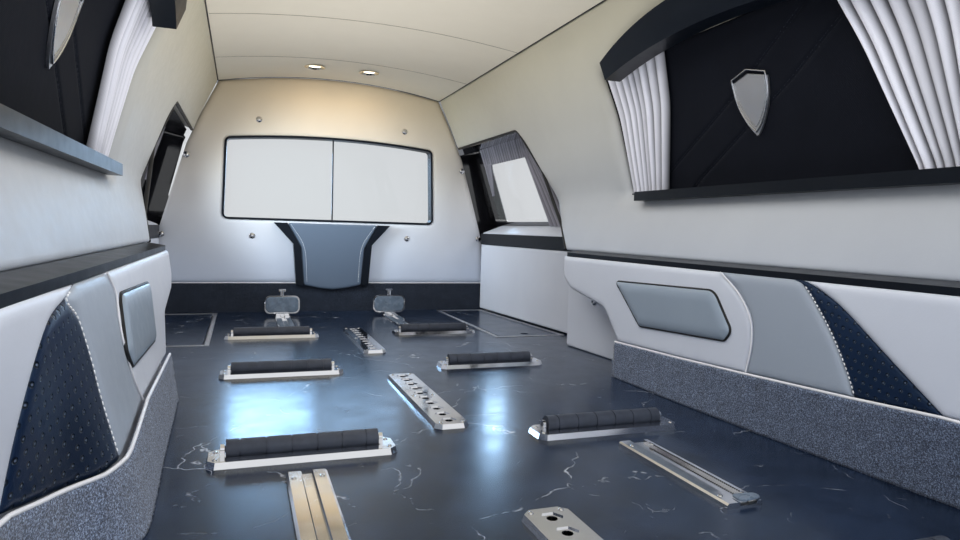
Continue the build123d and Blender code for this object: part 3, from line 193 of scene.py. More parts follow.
def vinyl(name, low, high, rough=0.42, grain=1):
    """Padded vinyl whose colour turns from one tone near the floor to another near the ceiling. In the warm and wall
    finishes the upper tone is painted light: a beige painted reflection, which the wall finish also darkens as painted
    shade.
    """
    f = Finish(name, low, rough, Coat_Weight=0.08, Coat_Roughness=0.3)
    # Blend by height; in the warm and wall finishes this paints reflection and shade onto the upper part
    tone = f.mix(f.between(f.axes(f.coords())[2], 0.35, 1.15), low, high)
    shade = f.mix(f.noise(5, 4), (0.9, 0.9, 0.91), (1.04, 1.04, 1.03))
    f.feed(Base_Color=f.mix(1, tone, shade, "MULTIPLY"))
    f.uneven(f.noise(40, 4), rough - 0.06, rough + 0.08)
    f.bump(f.cells(900), 0.16 * grain, 0.0004)
    f.bump(f.noise(220, 4), 0.18 * grain, 0.0006)
    f.bump(f.noise(7, 2), 0.12, 0.012)
    return f.mat


def perforated():
    """Black leather with rows of small holes in a slanting lattice; a pale dot in each hole's middle is a painted
    highlight.
    """
    f = Finish("black_leather", (0.012, 0.014, 0.022), 0.3, Specular_Tint=(0.5, 0.74, 1), Coat_Weight=0.06,
               Coat_Roughness=0.3)
    m = f.maths
    _, y, z = f.axes(f.coords(scale=(80, 80, 80), turn=(math.radians(28), 0, 0)))
    across = m("SUBTRACT", m("FRACT", y), 0.5)
    shifted = m("MULTIPLY", m("MODULO", m("FLOOR", y), 2), 0.5)
    down = m("SUBTRACT", m("FRACT", m("ADD", m("MULTIPLY", z, 0.62), shifted)), 0.5)
    flat = m("POWER", m("MULTIPLY", down, 1.6), 2)
    far = m("SQRT", m("ADD", m("POWER", across, 2), flat))
    hole = f.between(far, 0.2, 0.3)
    skin = f.mix(f.noise(5, 2), (0.003, 0.005, 0.012), (0.008, 0.022, 0.064))
    dark = f.mix(hole, (0.0006, 0.0008, 0.002), skin)
    # A pale dot in each hole's middle: painted highlight where light would catch the hole
    f.feed(Base_Color=f.mix(f.between(far, 0.07, 0.13), (0.105, 0.135, 0.2), dark))
    f.bump(hole, 1, 0.0022)
    f.bump(f.cells(700), 0.25, 0.0004)
    return f.mat


def carpet(name, tone):
    """Cut pile in heathered blue greys."""
    f = Finish(name, (0.1, 0.1, 0.12), 0.95, Sheen_Weight=0.2 * tone, Sheen_Roughness=0.5)
    shades = ((0.36, (0.008, 0.012, 0.024)), (0.5, (0.062, 0.084, 0.142)), (0.66, (0.32, 0.4, 0.56)))
    shades = [(place, tuple(tone * c for c in shade)) for place, shade in shades]
    patch = f.mix(f.noise(26, 4), (0.6, 0.6, 0.6), (1.25, 1.25, 1.25))
    f.feed(Base_Color=f.mix(1, f.ramp(f.noise(420, 3, rough=0.75), *shades), patch, "MULTIPLY"))
    f.bump(f.noise(520, 2, rough=0.8), 0.9, 0.0022)
    f.bump(f.noise(60, 3), 0.35, 0.004)
    return f.mat


def laminate():
    """Polished dark stone-look floor: fine pale veins, flecks and a light haze."""
    f = Finish("deck_laminate", (0.01, 0.012, 0.018), 0.22, Specular_IOR_Level=0.55, Specular_Tint=(0.52, 0.76, 1),
               Coat_Weight=0.05, Coat_Roughness=0.12)
    bent = f.mix(0.45, f.coords(), f.noise(3.2, 5, rough=0.5, output="Color"), "ADD")

    def veins(scale, wide, patches):
        """A net of cell edges, broken up by a noise."""
        net = f.maths("SUBTRACT", 1, f.between(f.cells(scale, bent, "DISTANCE_TO_EDGE"), 0, wide))
        return f.maths("MULTIPLY", net, patches)

    wide = veins(3.1, 0.007, f.between(f.noise(7, 6, rough=0.7), 0.49, 0.6))
    fine = veins(8.5, 0.012, f.between(f.noise(13, 6, rough=0.75), 0.58, 0.68))
    fleck = f.between(f.noise(130, 3, rough=0.8), 0.72, 0.8)
    pale = f.maths("MAXIMUM", wide, f.maths("MULTIPLY", fleck, 0.35))
    pale = f.maths("MAXIMUM", pale, f.maths("MULTIPLY", fine, 0.5))
    cloud = f.ramp(f.noise(11, 6, rough=0.7), (0.3, (0.004, 0.008, 0.019)), (0.72, (0.018, 0.031, 0.066)))
    f.feed(Base_Color=f.mix(pale, cloud, (0.42, 0.45, 0.5)))
    f.uneven(f.noise(16, 5), 0.2, 0.28, high=0.75)
    f.bump(f.noise(300, 2), 0.04, 0.0002)
    return f.mat


def metal(name, colour, rough, brushed=False):
    f = Finish(name, colour, rough, 1)
    low = f.noise(60, 2, vector=f.coords(scale=(1, 30, 30))) if brushed else f.noise(24, 4)
    f.uneven(low, rough, rough + 0.1)
    f.feed(Base_Color=f.mix(f.noise(9, 3), tuple(0.9 * c for c in colour), colour))
    return f.mat


def gloss(name, colour, rough, coat, grain=0.05, specular=0.5):
    """A smooth moulding or paint, with a fine orange-peel and faint dust in its tone."""
    f = Finish(name, colour, rough, Coat_Weight=coat, Coat_Roughness=0.05, Specular_IOR_Level=specular)
    f.feed(Base_Color=f.mix(f.noise(14, 4), colour, tuple(min(1, c * 1.5 + 0.001) for c in colour)))
    f.uneven(f.noise(30, 4), rough, rough + 0.06)
    f.bump(f.noise(180, 2), grain, 0.0004)
    return f.mat


def cloth(name, colour, dark, weave, rough=0.85, sheen=0.25, fold_shade=1, specular=0.5):
    """Woven cloth: crossed threads, a soft change of tone, and painted shade in the pleats' valleys, which darkens
    them down to a share of its colour.
    """
    f = Finish(name, colour, rough, Sheen_Weight=sheen, Sheen_Roughness=0.4, Specular_IOR_Level=specular)
    _, y, z = f.axes(f.coords(scale=(weave, weave, weave)))
    crossed = f.maths("MULTIPLY", f.maths("SINE", y), f.maths("SINE", z))
    threads = f.maths("MULTIPLY", f.maths("ADD", crossed, 1), 0.5)
    woven = f.mix(f.maths("MULTIPLY", threads, 0.6), f.mix(f.noise(12, 3), dark, colour), colour)
    if fold_shade < 1:
        # Each point's fold height: the valleys get painted shade
        deep = f.node("ShaderNodeAttribute", {}, "Fac", attribute_name="fold_shade_mask")
        woven = f.mix(f.between(deep, 0.06, 0.8), tuple(fold_shade * c for c in colour), woven)
    f.feed(Base_Color=woven)
    f.bump(threads, 0.35, 0.0005)
    f.bump(f.noise(60, 3), 0.15, 0.002)
    return f.mat


def rubber(name, colour, rough):
    f = Finish(name, colour, rough)
    f.feed(Base_Color=f.mix(f.noise(45, 5), tuple(0.6 * c for c in colour), tuple(1.6 * c for c in colour)))
    f.uneven(f.noise(35, 4), rough - 0.15, rough + 0.2, 0, 1)
    f.bump(f.noise(500, 2), 0.15, 0.0004)
    return f.mat


def glazing(name, colour, alpha):
    f = Finish(name, colour, 0.02, Alpha=alpha, IOR=1.5, Specular_IOR_Level=0.8, Coat_Weight=0.5, Coat_Roughness=0.01)
    f.bump(f.noise(1.5, 2), 0.02, 0.002)
    return f.mat


def glowing(name, colour, strength):
    f = Finish(name, colour, 0.4, Emission_Color=colour, Emission_Strength=strength)
    f.feed(Base_Color=f.mix(f.noise(60), colour, tuple(0.8 * c for c in colour)))
    return f.mat


MAT = {
    "light": vinyl("light_vinyl", (0.66, 0.7, 0.8), (0.69, 0.72, 0.79)),
    # The warm and wall finishes turn beige towards the ceiling, a painted reflection; the wall finish also turns
    # darker there, a painted shade
    "warm": vinyl("warm_vinyl", (0.5, 0.55, 0.66), (0.63, 0.54, 0.4)),
    "wall": vinyl("wall_vinyl_painted_shade_and_reflection", (0.5, 0.55, 0.66), (0.49, 0.46, 0.36)),
    "mid": vinyl("mid_vinyl", (0.35, 0.4, 0.48), (0.38, 0.41, 0.47), 0.4),
    "grey": vinyl("grey_vinyl", (0.29, 0.35, 0.43), (0.3, 0.35, 0.42), 0.34),
    "slate": vinyl("slate_vinyl", (0.085, 0.115, 0.165), (0.095, 0.125, 0.17), 0.34),
    "kick": carpet("kick_carpet", 0.22),
    "leather": perforated(),
    "carpet": carpet("carpet", 1.25),
    "floor": laminate(),
    "chrome": metal("chrome", (0.86, 0.86, 0.87), 0.05),
    "satin": metal("satin_steel", (0.84, 0.84, 0.87), 0.4),
    "steel": metal("bright_steel", (0.62, 0.63, 0.65), 0.22, brushed=True),
    "trim": gloss("gloss_trim", (0.0026, 0.0044, 0.008), 0.3, coat=0.04, specular=0.18),
    "paint": gloss("body_paint", (0.008, 0.008, 0.01), 0.1, coat=1, grain=0.02),
    "chassis": gloss("frame_steel", (0.03, 0.03, 0.033), 0.42, coat=0.1, grain=0.2),
    "cloth": cloth("black_cloth", (0.0075, 0.009, 0.015), (0.0035, 0.0045, 0.0075), 1400, sheen=0.02, specular=0.15),
    # The curtain finishes paint shade into their pleats' valleys, down to this share of their colour
    "curtain": cloth("curtain_cloth", (0.86, 0.86, 0.94), (0.74, 0.74, 0.82), 1600, 0.55, 0.25, fold_shade=0.08),
    "door_curtain": cloth("door_curtain_cloth", (0.34, 0.33, 0.38), (0.26, 0.25, 0.29), 1400, fold_shade=0.18),
    "lining": cloth("headlining", (0.77, 0.71, 0.59), (0.71, 0.65, 0.54), 1800, 0.9, 0.1),
    "rubber": rubber("roller_rubber", (0.032, 0.038, 0.054), 0.45),
    "seal": rubber("seal_rubber", (0.01, 0.01, 0.011), 0.5),
    "glass": glazing("tinted_glass", (0.1, 0.13, 0.13), 0.16),
    "dark_glass": glazing("dark_glass", (0.01, 0.012, 0.012), 0.85),
    "lamp": metal("lamp", (0.75, 0.72, 0.62), 0.12),
    "glow": glowing("lamp_glow", (1, 0.86, 0.62), 4),
    "thread": rubber("white_thread", (0.8, 0.8, 0.82), 0.6),
    "piping": vinyl("white_piping", (0.78, 0.78, 0.82), (0.78, 0.78, 0.8), 0.35, 0.4),
    "dark_thread": rubber("dark_thread", (0.03, 0.034, 0.05), 0.6),
    "seam": rubber("ceiling_seam", (0.3, 0.27, 0.22), 0.8),
    "paddle": rubber("paddle_face", (0.115, 0.15, 0.2), 0.25),
}

# The finish of each CAD node, by the longest of these that its name starts with
NODE_FINISH = {
    "paint": "side_shell_ roof door_", "chassis": "wheelhouses underframe hatch_bins", "floor": "deck hatch_lid_",
    "satin": "hatch_frames window_shields", "steel": "sill_plate door_hinges", "rubber": "roller_",
    "chrome": "roller_trays pin_plates track_plates stop_", "glass": "partition_panes door_glass_",
    "trim": "partition_frame console_edges belt_mouldings window_sills window_valances door_band_",
    "light": "wheel_covers cover_panels pocket_panels door_trim_", "grey": "cover_pads", "leather": "cover_leather",
    "carpet": "cover_carpets", "kick": "kickboard", "slate": "console", "warm": "partition", "wall": "padded_walls",
    "cloth": "window_boards", "curtain": "window_curtains", "door_curtain": "door_curtain_", "lining": "headliner",
    "lamp": "downlights", "dark_glass": "side_glass",
}
STARTS = {start: finish for finish, starts in NODE_FINISH.items() for start in starts.split()}
for node_name, node_object in NODES.items():
    longest = max((start for start in STARTS if node_name.startswith(start)), key=len)
    for material_slot in node_object.material_slots:
        material_slot.material = MAT[STARTS[longest]]


# Shapes

ROLL_STEPS = 5


def rounded(points, radii, step=0.004):
    """A closed outline with its corners rounded, all by one radius or each by its own."""
    points = [Vector(p) for p in points]
    made = []
    for i, corner in enumerate(points):
        before = points[i - 1] - corner
        after = points[(i + 1) % len(points)] - corner
        radius = radii[i] if isinstance(radii, list) else radii
        half = before.angle(after) / 2
        if radius <= 0 or half > math.radians(88):
            made.append(tuple(corner))
            continue
        back = min(radius / math.tan(half), 0.48 * before.length, 0.48 * after.length)
        radius = back * math.tan(half)
        before, after = before.normalized(), after.normalized()
        middle = corner + (before + after).normalized() * (radius / math.sin(half))
        start = corner + before * back - middle
        turn = start.angle_signed(corner + after * back - middle)
        count = max(2, int(abs(turn) * radius / step))
        for k in range(count + 1):
            arm = start.copy()
            arm.rotate(Matrix.Rotation(-turn * k / count, 2))
            made.append(tuple(middle + arm))
    return made


def smooth_line(points, step):
    """A Catmull-Rom line through points of any dimension."""
    pts = [np.array(p, float) for p in points]
    pts = [2 * pts[0] - pts[1]] + pts + [2 * pts[-1] - pts[-2]]
    made = []
    for a, b, c, d in zip(pts, pts[1:], pts[2:], pts[3:]):
        count = max(1, int(np.linalg.norm(c - b) / step))
        for k in range(count):
            t = k / count
            made.append(0.5 * (2 * b + (c - a) * t + (2 * a - 5 * b + 4 * c - d) * t * t + (3 * b - a - 3 * c + d) * t ** 3))
    made.append(pts[-2])
    return [tuple(float(x) for x in p) for p in made]


def steps_between(start, end, step):
    count = max(1, round(abs(end - start) / step))
    return [start + (end - start) * k / count for k in range(count + 1)]


def resample(points, step):
    """A closed outline with no stretch longer than a step."""
    made = []
    for (xa, ya), (xb, yb) in zip(points, points[1:] + points[:1]):
        run = math.dist((xa, ya), (xb, yb))
        count = max(1, round(run / step))
        if run >= 1e-6:
            made += [(xa + (xb - xa) * k / count, ya + (yb - ya) * k / count) for k in range(count)]
    return made


def edge_distance(points, outline):
    """The distance of each point from a closed outline."""
    pts = np.asarray(points, float)
    a = np.asarray(outline, float)
    b = np.roll(a, -1, axis=0)
    best = np.full(len(pts), 1e9)
    for p, q in zip(a, b):
        d = q - p
        t = np.clip(((pts - p) @ d) / max(d @ d, 1e-12), 0, 1)
        best = np.minimum(best, np.hypot(*(pts - p - t[:, None] * d).T))
    return best


def mesh_of(name, verts, faces, sharp=50):
    mesh = bpy.data.meshes.new(name)
    mesh.from_pydata([tuple(v) for v in verts], [], faces)
    mesh.update()
    mesh.polygons.foreach_set("use_smooth", [True] * len(mesh.polygons))
    mesh.set_sharp_from_angle(angle=math.radians(sharp))
    return mesh


def add_object(name, data):
    made = bpy.data.objects.new(name, data)
    bpy.context.scene.collection.objects.link(made)
    return made


def add_piece(name, data, finish, body=BODY, replaces=None):
    """Every piece has a finish and a slot, rides on a body, and may stand for a CAD node."""
    data.materials.append(MAT[finish])
    piece = add_object(name, data)
    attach(piece, body)
    if replaces:
        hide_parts(replaces)
    return piece


def contains(points, loops):
    """Which points lie inside the first loop and outside the others."""
    pts = np.asarray(points, float)
    inside = np.zeros(len(pts), bool)
    for loop in loops:
        for (xa, ya), (xb, yb) in zip(loop, loop[1:] + loop[:1]):
            if ya != yb:
                crosses = (ya > pts[:, 1]) != (yb > pts[:, 1])
                inside ^= crosses & (pts[:, 0] < (xb - xa) * (pts[:, 1] - ya) / (yb - ya) + xa)
    return inside


def inset_ring(outline, distance):
    """The outline's points moved inward, whichever way it turns."""
    pts = np.asarray(outline, float)
    ahead = np.roll(pts, -1, axis=0)
    along = ahead - np.roll(pts, 1, axis=0)
    along /= np.maximum(np.hypot(*along.T), 1e-9)[:, None]
    turn = np.sign(np.sum(pts[:, 0] * ahead[:, 1] - ahead[:, 0] * pts[:, 1]))
    return pts + turn * distance * np.column_stack((-along[:, 1], along[:, 0]))


def closed(faces, count):
    """The faces, their copies a count of points further on, and the walls between both at the open edges."""
    sides = dict.fromkeys((i, j) for f in faces for i, j in zip(f, f[1:] + f[:1]))
    backs = [[i + count for i in reversed(f)] for f in faces]
    return faces + backs + [(j, i, i + count, j + count) for i, j in sides if (j, i) not in sides]


def pad(name, surface, outline, finish, replaces=None, body=BODY, *, puff, roll, thick, grid, holes=(), hole_roll=0,
        hole_puff=0, relief=None):
    """A padded panel: its face lies on a surface and rolls back to its edges, and its back is closed."""
    loops = [resample(list(loop), grid * 0.4) for loop in (outline, *holes)]
    rolls = [roll] + [hole_roll] * len(holes)
    puffs = [puff] + [hole_puff] * len(holes)
    points, edges, extra = [], [], []
    for i, (loop, size) in enumerate(zip(loops, rolls)):
        first = len(points)
        points += loop
        edges += [(first + k, first + (k + 1) % len(loop)) for k in range(len(loop))]
        for k in range(1, ROLL_STEPS + 1):
            d = size * (1 - math.cos(k * math.pi / 2 / ROLL_STEPS))
            extra += [(tuple(p), d) for p in inset_ring(loop, -d if i else d)]
    (u0, v0), (u1, v1) = np.min(points, axis=0), np.max(points, axis=0)
    extra += [((float(u), float(v)), max(rolls) * 1.15) for u in np.arange(u0 + grid / 2, u1, grid)
              for v in np.arange(v0 + grid / 2, v1, grid)]
    spots, need = [p for p, _ in extra], np.array([d for _, d in extra])
    near = np.min([edge_distance(spots, loop) for loop in loops], axis=0)
    points += [p for p, keep in zip(spots, contains(spots, loops) & (near > need * 0.93 - 1e-4)) if keep]
    cut = delaunay_2d_cdt([Vector(p) for p in points], edges, [], 0, 1e-6)
    flat = np.array([tuple(v) for v in cut[0]])
    faces = np.array([f for f in cut[2] if len(f) == 3])
    faces = faces[contains(flat[faces].mean(axis=1), loops)]
    used, faces = np.unique(faces, return_inverse=True)
    flat, faces = flat[used], faces.reshape(-1, 3)
    drop = np.zeros(len(flat))
    for loop, size, height in zip(loops, rolls, puffs):
        d = np.clip(edge_distance(flat, loop) / size, 0, 1)
        drop = np.maximum(drop, height * (1 - np.sqrt(1 - (1 - d) ** 2)))
    if relief:
        drop -= relief(*flat.T)
    drop = np.minimum(drop, thick - 0.0005)
    spots = [surface(float(u), float(v)) for u, v in flat]
    tops = [place - normal * float(d) for (place, normal), d in zip(spots, drop)]
    backs = [place - normal * thick for place, normal in spots]
    a, b, c = (tops[i] for i in faces[0])
    if (b - a).cross(c - a).dot(surface(*map(float, flat[faces[0]].mean(axis=0)))[1]) < 0:
        faces = faces[:, ::-1]
    piece = add_piece(name, mesh_of(name, tops + backs, closed(faces.tolist(), len(flat))), finish, body, replaces)


def bead(name, lines, radius, finish, body=BODY, cyclic=False, resolution=3):
    """Piping, seams and beads: one curve with a round section."""
    curve = bpy.data.curves.new(name, "CURVE")
    curve.dimensions = "3D"
    curve.bevel_depth = radius
    curve.bevel_resolution = resolution
    curve.use_fill_caps = True
    for line in lines:
        spline = curve.splines.new("POLY")
        spline.points.add(len(line) - 1)
        for point, place in zip(spline.points, line):
            point.co = (*place, 1)
        spline.use_cyclic_u = cyclic
    add_piece(name, curve, finish, body)


def turned(name, profile, frames, finish, around=20):
    """Round pieces: a profile r, h turned about each frame's axis; a frame is a place, its axis and two arms."""
    verts, faces = [], []
    last = (len(profile) - 1) * around
    for place, axis, arm, other in frames:
        base = len(verts)
        for r, h in profile:
            for k in range(around):
                turn = 2 * math.pi * k / around
                verts.append(place + axis * h + (arm * math.cos(turn) + other * math.sin(turn)) * r)
        for row in range(base, base + last, around):
            faces += [(row + k, row + (k + 1) % around, row + (k + 1) % around + around, row + k + around)
                      for k in range(around)]
        faces.append(tuple(base + last + k for k in range(around)))
        faces.append(tuple(base + k for k in reversed(range(around))))
    add_piece(name, mesh_of(name, verts, faces), finish)


def upright(place, normal):
    """The frame of a round piece that stands on a surface."""
    arm = normal.orthogonal().normalized()
    return place, normal, arm, normal.cross(arm)


def stitches(name, lines, finish, long, gap, thick):
    """Short threads along lines, each line with its normal; each thread is a thin spindle that dips at its ends."""
    frames = []
    for line, normal in lines:
        walked = 0
        for a, b in zip(line, line[1:]):
            run = (b - a).length
            way = (b - a).normalized()
            while walked < run:
                frames.append((a + (b - a) * (walked / run), way, way.cross(normal), normal))
                walked += long + gap
            walked -= run
    spindle = [(size * thick, t * long) for size, t in ((0.3, -0.5), (1, -0.35), (1, 0.35), (0.3, 0.5))]
    turned(name, spindle, frames, finish, 6)


# Surfaces that the soft pieces lie on

# The padded wall's section, closed far outside to round its corners, then opened again
WALL_PROFILE = rounded([(x, z) for x, z, _ in WALL_LINE] + [(2, WALL_TOP), (2, BELT_TOP)], [0, 0.06, 0.4, 0.4, 0, 0, 0], 0.01)
WALL_PROFILE = np.array([(x, z) for x, z in WALL_PROFILE if x < 1])


def wall_x(z):
    return float(np.interp(z, WALL_PROFILE[:, 1], WALL_PROFILE[:, 0]))


def wall_surface(side, depth=0):
    """The padded wall's face, or one that lies deeper behind it."""
    def surface(s, z):
        x = wall_x(z)
        lean = (wall_x(z + 0.01) - wall_x(z - 0.01)) / 0.02
        normal = Vector((-side, 0, lean)).normalized()
        return at(side * x, s, z) - normal * depth, normal
    return surface


def slanted_surface(side, rear, front):
    """An upright plane over a line in plan, from (x, s) at the rear to (x, s) at the front."""
    run = Vector((front[0] - rear[0], front[1] - rear[1]))
    normal = Vector((-side * run.y, run.x, 0)).normalized()

    def surface(s, z):
        t = (s - rear[1]) / run.y
        return at(side * (rear[0] + run.x * t), s, z), normal
    return surface


def cross_surface(s):
    """An upright plane across the compartment that faces the rear."""
    return lambda x, z: (at(x, s, z), REARWARD)


def on(surface, points):
    """A line on a surface."""
    return [surface(u, v)[0] for u, v in points]


def foot_shift(cover, s):
    """How far outward the carpet's foot lies there; its turns are softened a little."""
    return sum(line_height(cover["carpet"], s + step, 2) for step in (-0.024, -0.012, 0, 0.012, 0.024)) / 5


def face_shift(cover, s, z):
    """How far outward a cover's face has moved there."""
    return foot_shift(cover, s) * (BELT_BOTTOM - z) / BELT_BOTTOM if cover["lean"] else 0


def cover_surface(side, cover, lift=0):
    """The face of a wheelhouse cover, or one that stands in front of it."""
    def surface(s, z):
        shift = face_shift(cover, s, z)
        run = (face_shift(cover, s + 0.004, z) - face_shift(cover, s - 0.004, z)) / 0.008
        lean = (face_shift(cover, s, z + 0.01) - face_shift(cover, s, z - 0.01)) / 0.02
        normal = Vector((-side, run, lean)).normalized()
        return at(side * (COVER_X + shift), s, z) + normal * lift, normal
    return surface


def line_height(line, s, column=1):
    """A line's second value, or that of another column, at s."""
    return float(np.interp(s, [p[0] for p in line], [p[column] for p in line]))


# Padded walls

def build_walls(label, side):
    outline = [(0.001, BELT_TOP), *DOOR_OPENING, (WALL_END - 0.001, WALL_TOP - 0.001), (0.001, WALL_TOP - 0.001)]
    outline = rounded(outline, [0, 0.02, 0, 0, 0.045, 0, 0, 0])
    recess = rounded(RECESS, 0.02)
    rim = rounded([(1.935, 0.352), *DOOR_OPENING[1:4], (3.08, 0.8165)], [0, 0.02, 0, 0.045, 0])
    head = [(s, 1.0465) for s in steps_between(0, WALL_END, 0.2)]
    pad("padded_wall_" + label, wall_surface(side), outline, "wall", "padded_walls", holes=[recess], puff=0.006,
        roll=0.012, hole_roll=0.04, hole_puff=0.02, thick=0.0245, grid=0.045)
    bead("door_opening_rim_" + label, [on(wall_surface(side, 0.006), rim)], 0.0065, "seal")
    bead("ceiling_joint_" + label, [on(wall_surface(side, 0.001), head)], 0.0022, "seal")


# Window boards, shields and curtains

BOARD_SEAMS = mm((((872, 877), (1525, 531)), ((823, 818), (1348, 531))))
SHIELD_AT = (1.078, 0.719)
CURTAIN_FOOT = 0.5343
CURTAIN_HEAD = 0.8835
# Each curtain: its rear and front edge as (z, s), and its pleats
CURTAINS = (
    ("front", ((CURTAIN_FOOT, 1.441), (CURTAIN_HEAD, 1.331)), ((CURTAIN_FOOT, 1.604), (CURTAIN_HEAD, 1.62)), 8),
    ("rear", ((CURTAIN_FOOT, 0.585), (CURTAIN_HEAD, 0.597)), ((CURTAIN_FOOT, 0.692), (CURTAIN_HEAD, 0.818)), 7),
)
CURTAIN_MID = 0.018


def build_boards(label, side):
    (s0, z0), (s1, _), (s2, z1), (s3, _) = RECESS
    outline = rounded([(s0 + 0.001, z0 + 0.002), (s1 - 0.001, z0 + 0.002), (s2 - 0.001, z1 - 0.001), (s3 + 0.001, z1 - 0.001)],
                      0.018)

    def creases(us, vs):
        deep = np.zeros(len(us))
        for (sa, za), (sb, zb) in BOARD_SEAMS:
            far = ((sb - sa) * (vs - za) - (zb - za) * (us - sa)) / math.hypot(sb - sa, zb - za)
            deep = np.minimum(deep, -0.005 * np.exp(-(far / 0.0035) ** 2))
        return deep

    pad("window_board_" + label, wall_surface(side, BOARD_DEPTH), outline, "cloth", "window_boards", puff=0.003,
        roll=0.01, thick=0.0078, grid=0.0065, relief=creases)
    sunk = wall_surface(side, BOARD_DEPTH + 0.0028)
    lines = []
    for (sa, za), (sb, zb) in BOARD_SEAMS:
        for shift in (-0.0035, 0.0035):
            seam = [(sa + (sb - sa) * t, za + (zb - za) * t + shift) for t in steps_between(0, 1, 0.02)]
            seam = [(s, z) for s, z in seam if 0.54 < z < 0.866]
            lines.append((on(sunk, seam), sunk(*seam[-1])[1]))
    stitches("board_stitches_" + label, lines, "dark_thread", 0.004, 0.0025, 0.0005)


def build_curtains(label, side):
    for name, rear, front, pleats in CURTAINS:
        pleated(name + "_curtain_" + label, wall_surface(side, BOARD_DEPTH), (rear, front), CURTAIN_FOOT, CURTAIN_HEAD, pleats,
                CURTAIN_MID, 0.0112, "curtain",
                seed=len(name) + side, replaces="window_curtains")


def pleated(name, surface, ends, z0, z1, pleats, depth, swing, finish, seed=0, body=BODY, replaces=None, rows=28,
            around=14, ruffle=0):
    """A gathered sheet between two ends: its pleats swing each way from a depth in front of the surface."""
    chance = random.Random(seed)
    widths = [0.75 + 0.5 * chance.random() for _ in range(pleats)]
    starts = [sum(widths[:k]) / sum(widths) for k in range(pleats + 1)]
    leans = [chance.uniform(-0.5, 0.5) for _ in range(pleats)]
    heights = [0.7 + 0.3 * chance.random() for _ in range(pleats)]
    verts, fold_shade = [], []
    columns = pleats * around
    for row in range(rows + 1):
        v = row / rows
        z = z0 + (z1 - z0) * v
        rear, front = (line_height(end, z) for end in ends)
        flare = 1 + ruffle * max(0, 1 - v / 0.08)
        for column in range(columns + 1):
            k = min(column // around, pleats - 1)
            t = (column - k * around) / around
            wide = starts[k + 1] - starts[k]
            wave = 2 * math.sin(math.pi * t) ** 0.75 * heights[k] - 1
            wave *= 0.82 + 0.18 * math.cos(3 * v + leans[k] * 6)
            shift = 0.18 * leans[k] * math.sin(math.pi * t) * (1 - v) * wide
            place, normal = surface(rear + (front - rear) * (starts[k] + wide * t + shift), z)
            verts.append(place + normal * (depth + swing * wave * flare))
            # Each point's fold height, kept for the painted shade in the valleys
            fold_shade.append((wave + 1) / 2)
    corners = [row * (columns + 1) + column for row in range(rows) for column in range(columns)]
    faces = [(a, a + 1, a + columns + 2, a + columns + 1) for a in corners]
    piece = add_piece(name, mesh_of(name, verts, faces, 80), finish, body, replaces)
    piece.data.attributes.new("fold_shade_mask", "FLOAT", "POINT").data.foreach_set("value", fold_shade)


def build_shields(label, side):
    """A bright rim and a fine bead on each plain shield."""
    half, top, point = 0.056, 0.0554, -0.0766
    edge = [(0, top + 0.01), (half, top - 0.004)]
    edge += [(half * (1 - t ** 2.4) ** 0.9, (top - 0.004) * (1 - t) + point * t) for t in steps_between(0.08, 1, 0.08)]
    edge += [(-x, z) for x, z in reversed(edge[1:-1])]
    for name, share, lift, radius in (("rim", 0.94, 0.007, 0.0022), ("bead", 0.8, 0.0062, 0.0009)):
        line = [(SHIELD_AT[0] + share * u, SHIELD_AT[1] + share * v) for u, v in edge]
        bead("shield_%s_%s" % (name, label), [on(wall_surface(side, BOARD_DEPTH - lift), line)], radius, "chrome",
             cyclic=True)


# Partition, kickboard and console

BUTTONS = mm(((-340, 887), (343, 883), (-366, 353), (366, 355), (-646, 708), (646, 707), (-748, 352), (744, 362)))
KICK_TOP = 0.134
KICK_FACE = 0.012
CONSOLE_FACE = 0.034
CONSOLE = mm(((-212, 418), (-150, 306), (-135, 128), (-60, 112), (0, 106), (60, 112), (135, 128), (150, 306), (212, 418)))


def window_line():
    (foot_x, foot), (head_x, head) = WINDOW
    arch = [(head_x * k / 5, head + (WINDOW_ARCH - head) * (1 - (k / 5) ** 2)) for k in range(5, -6, -1)]
    radii = [0.026, 0.026, 0.026] + [0] * (len(arch) - 2) + [0.026]
    return rounded([(-foot_x, foot), (foot_x, foot)] + arch, radii)


def ceiling_height(x):
    edge_x, edge = PARTITION_LINE[-1]
    return CEILING_TOP - (CEILING_TOP - edge) * (x / edge_x) ** 2


def arch_line(inset=0):
    edge_x = PARTITION_LINE[-1][0]
    return [(edge_x * k / 8, ceiling_height(edge_x * k / 8) - inset) for k in range(8, -9, -1)]


def build_partition():
    line = [(x - 0.0005, z) for x, z in PARTITION_LINE]
    outline = line + arch_line(0.001)[1:-1] + [(-x, z) for x, z in reversed(line)]

    def dimples(us, vs):
        return -0.0075 * sum(np.exp(-np.hypot(us - u, vs - v) / 0.02) for u, v in BUTTONS)

    pad("padded_partition", cross_surface(WALL_END + 0.0005), outline, "warm", "partition", holes=[window_line()],
        puff=0.012, roll=0.03, hole_roll=0.02, hole_puff=0.008, thick=0.059, grid=0.022, relief=dimples)
    turned("partition_buttons", BUTTON, [upright(at(u, WALL_END + 0.0048, v), REARWARD) for u, v in BUTTONS], "chrome")
    joint = [at(x, WALL_END + 0.003, z + 0.001) for x, z in arch_line()]
    bead("partition_joint", [joint], 0.003, "seal")
    wide = PARTITION_LINE[0][0] - 0.01
    pipes = [[at(x, WALL_END - KICK_FACE * 0.55, KICK_TOP + 0.001) for x in ends] for ends in ((-wide, -0.16), (0.16, wide))]
    bead("kickboard_piping", pipes, 0.0026, "piping")


# Profiles r, h of the snap buttons and the screws
BUTTON = mm(((14.5, 0), (14.5, 2.2), (13, 4.6), (8.8, 6.4), (3.5, 7.2)))
SCREW = mm(((4.4, 0), (4.2, 0.9), (3, 1.6), (1.6, 1.7), (1.5, 0.8)))


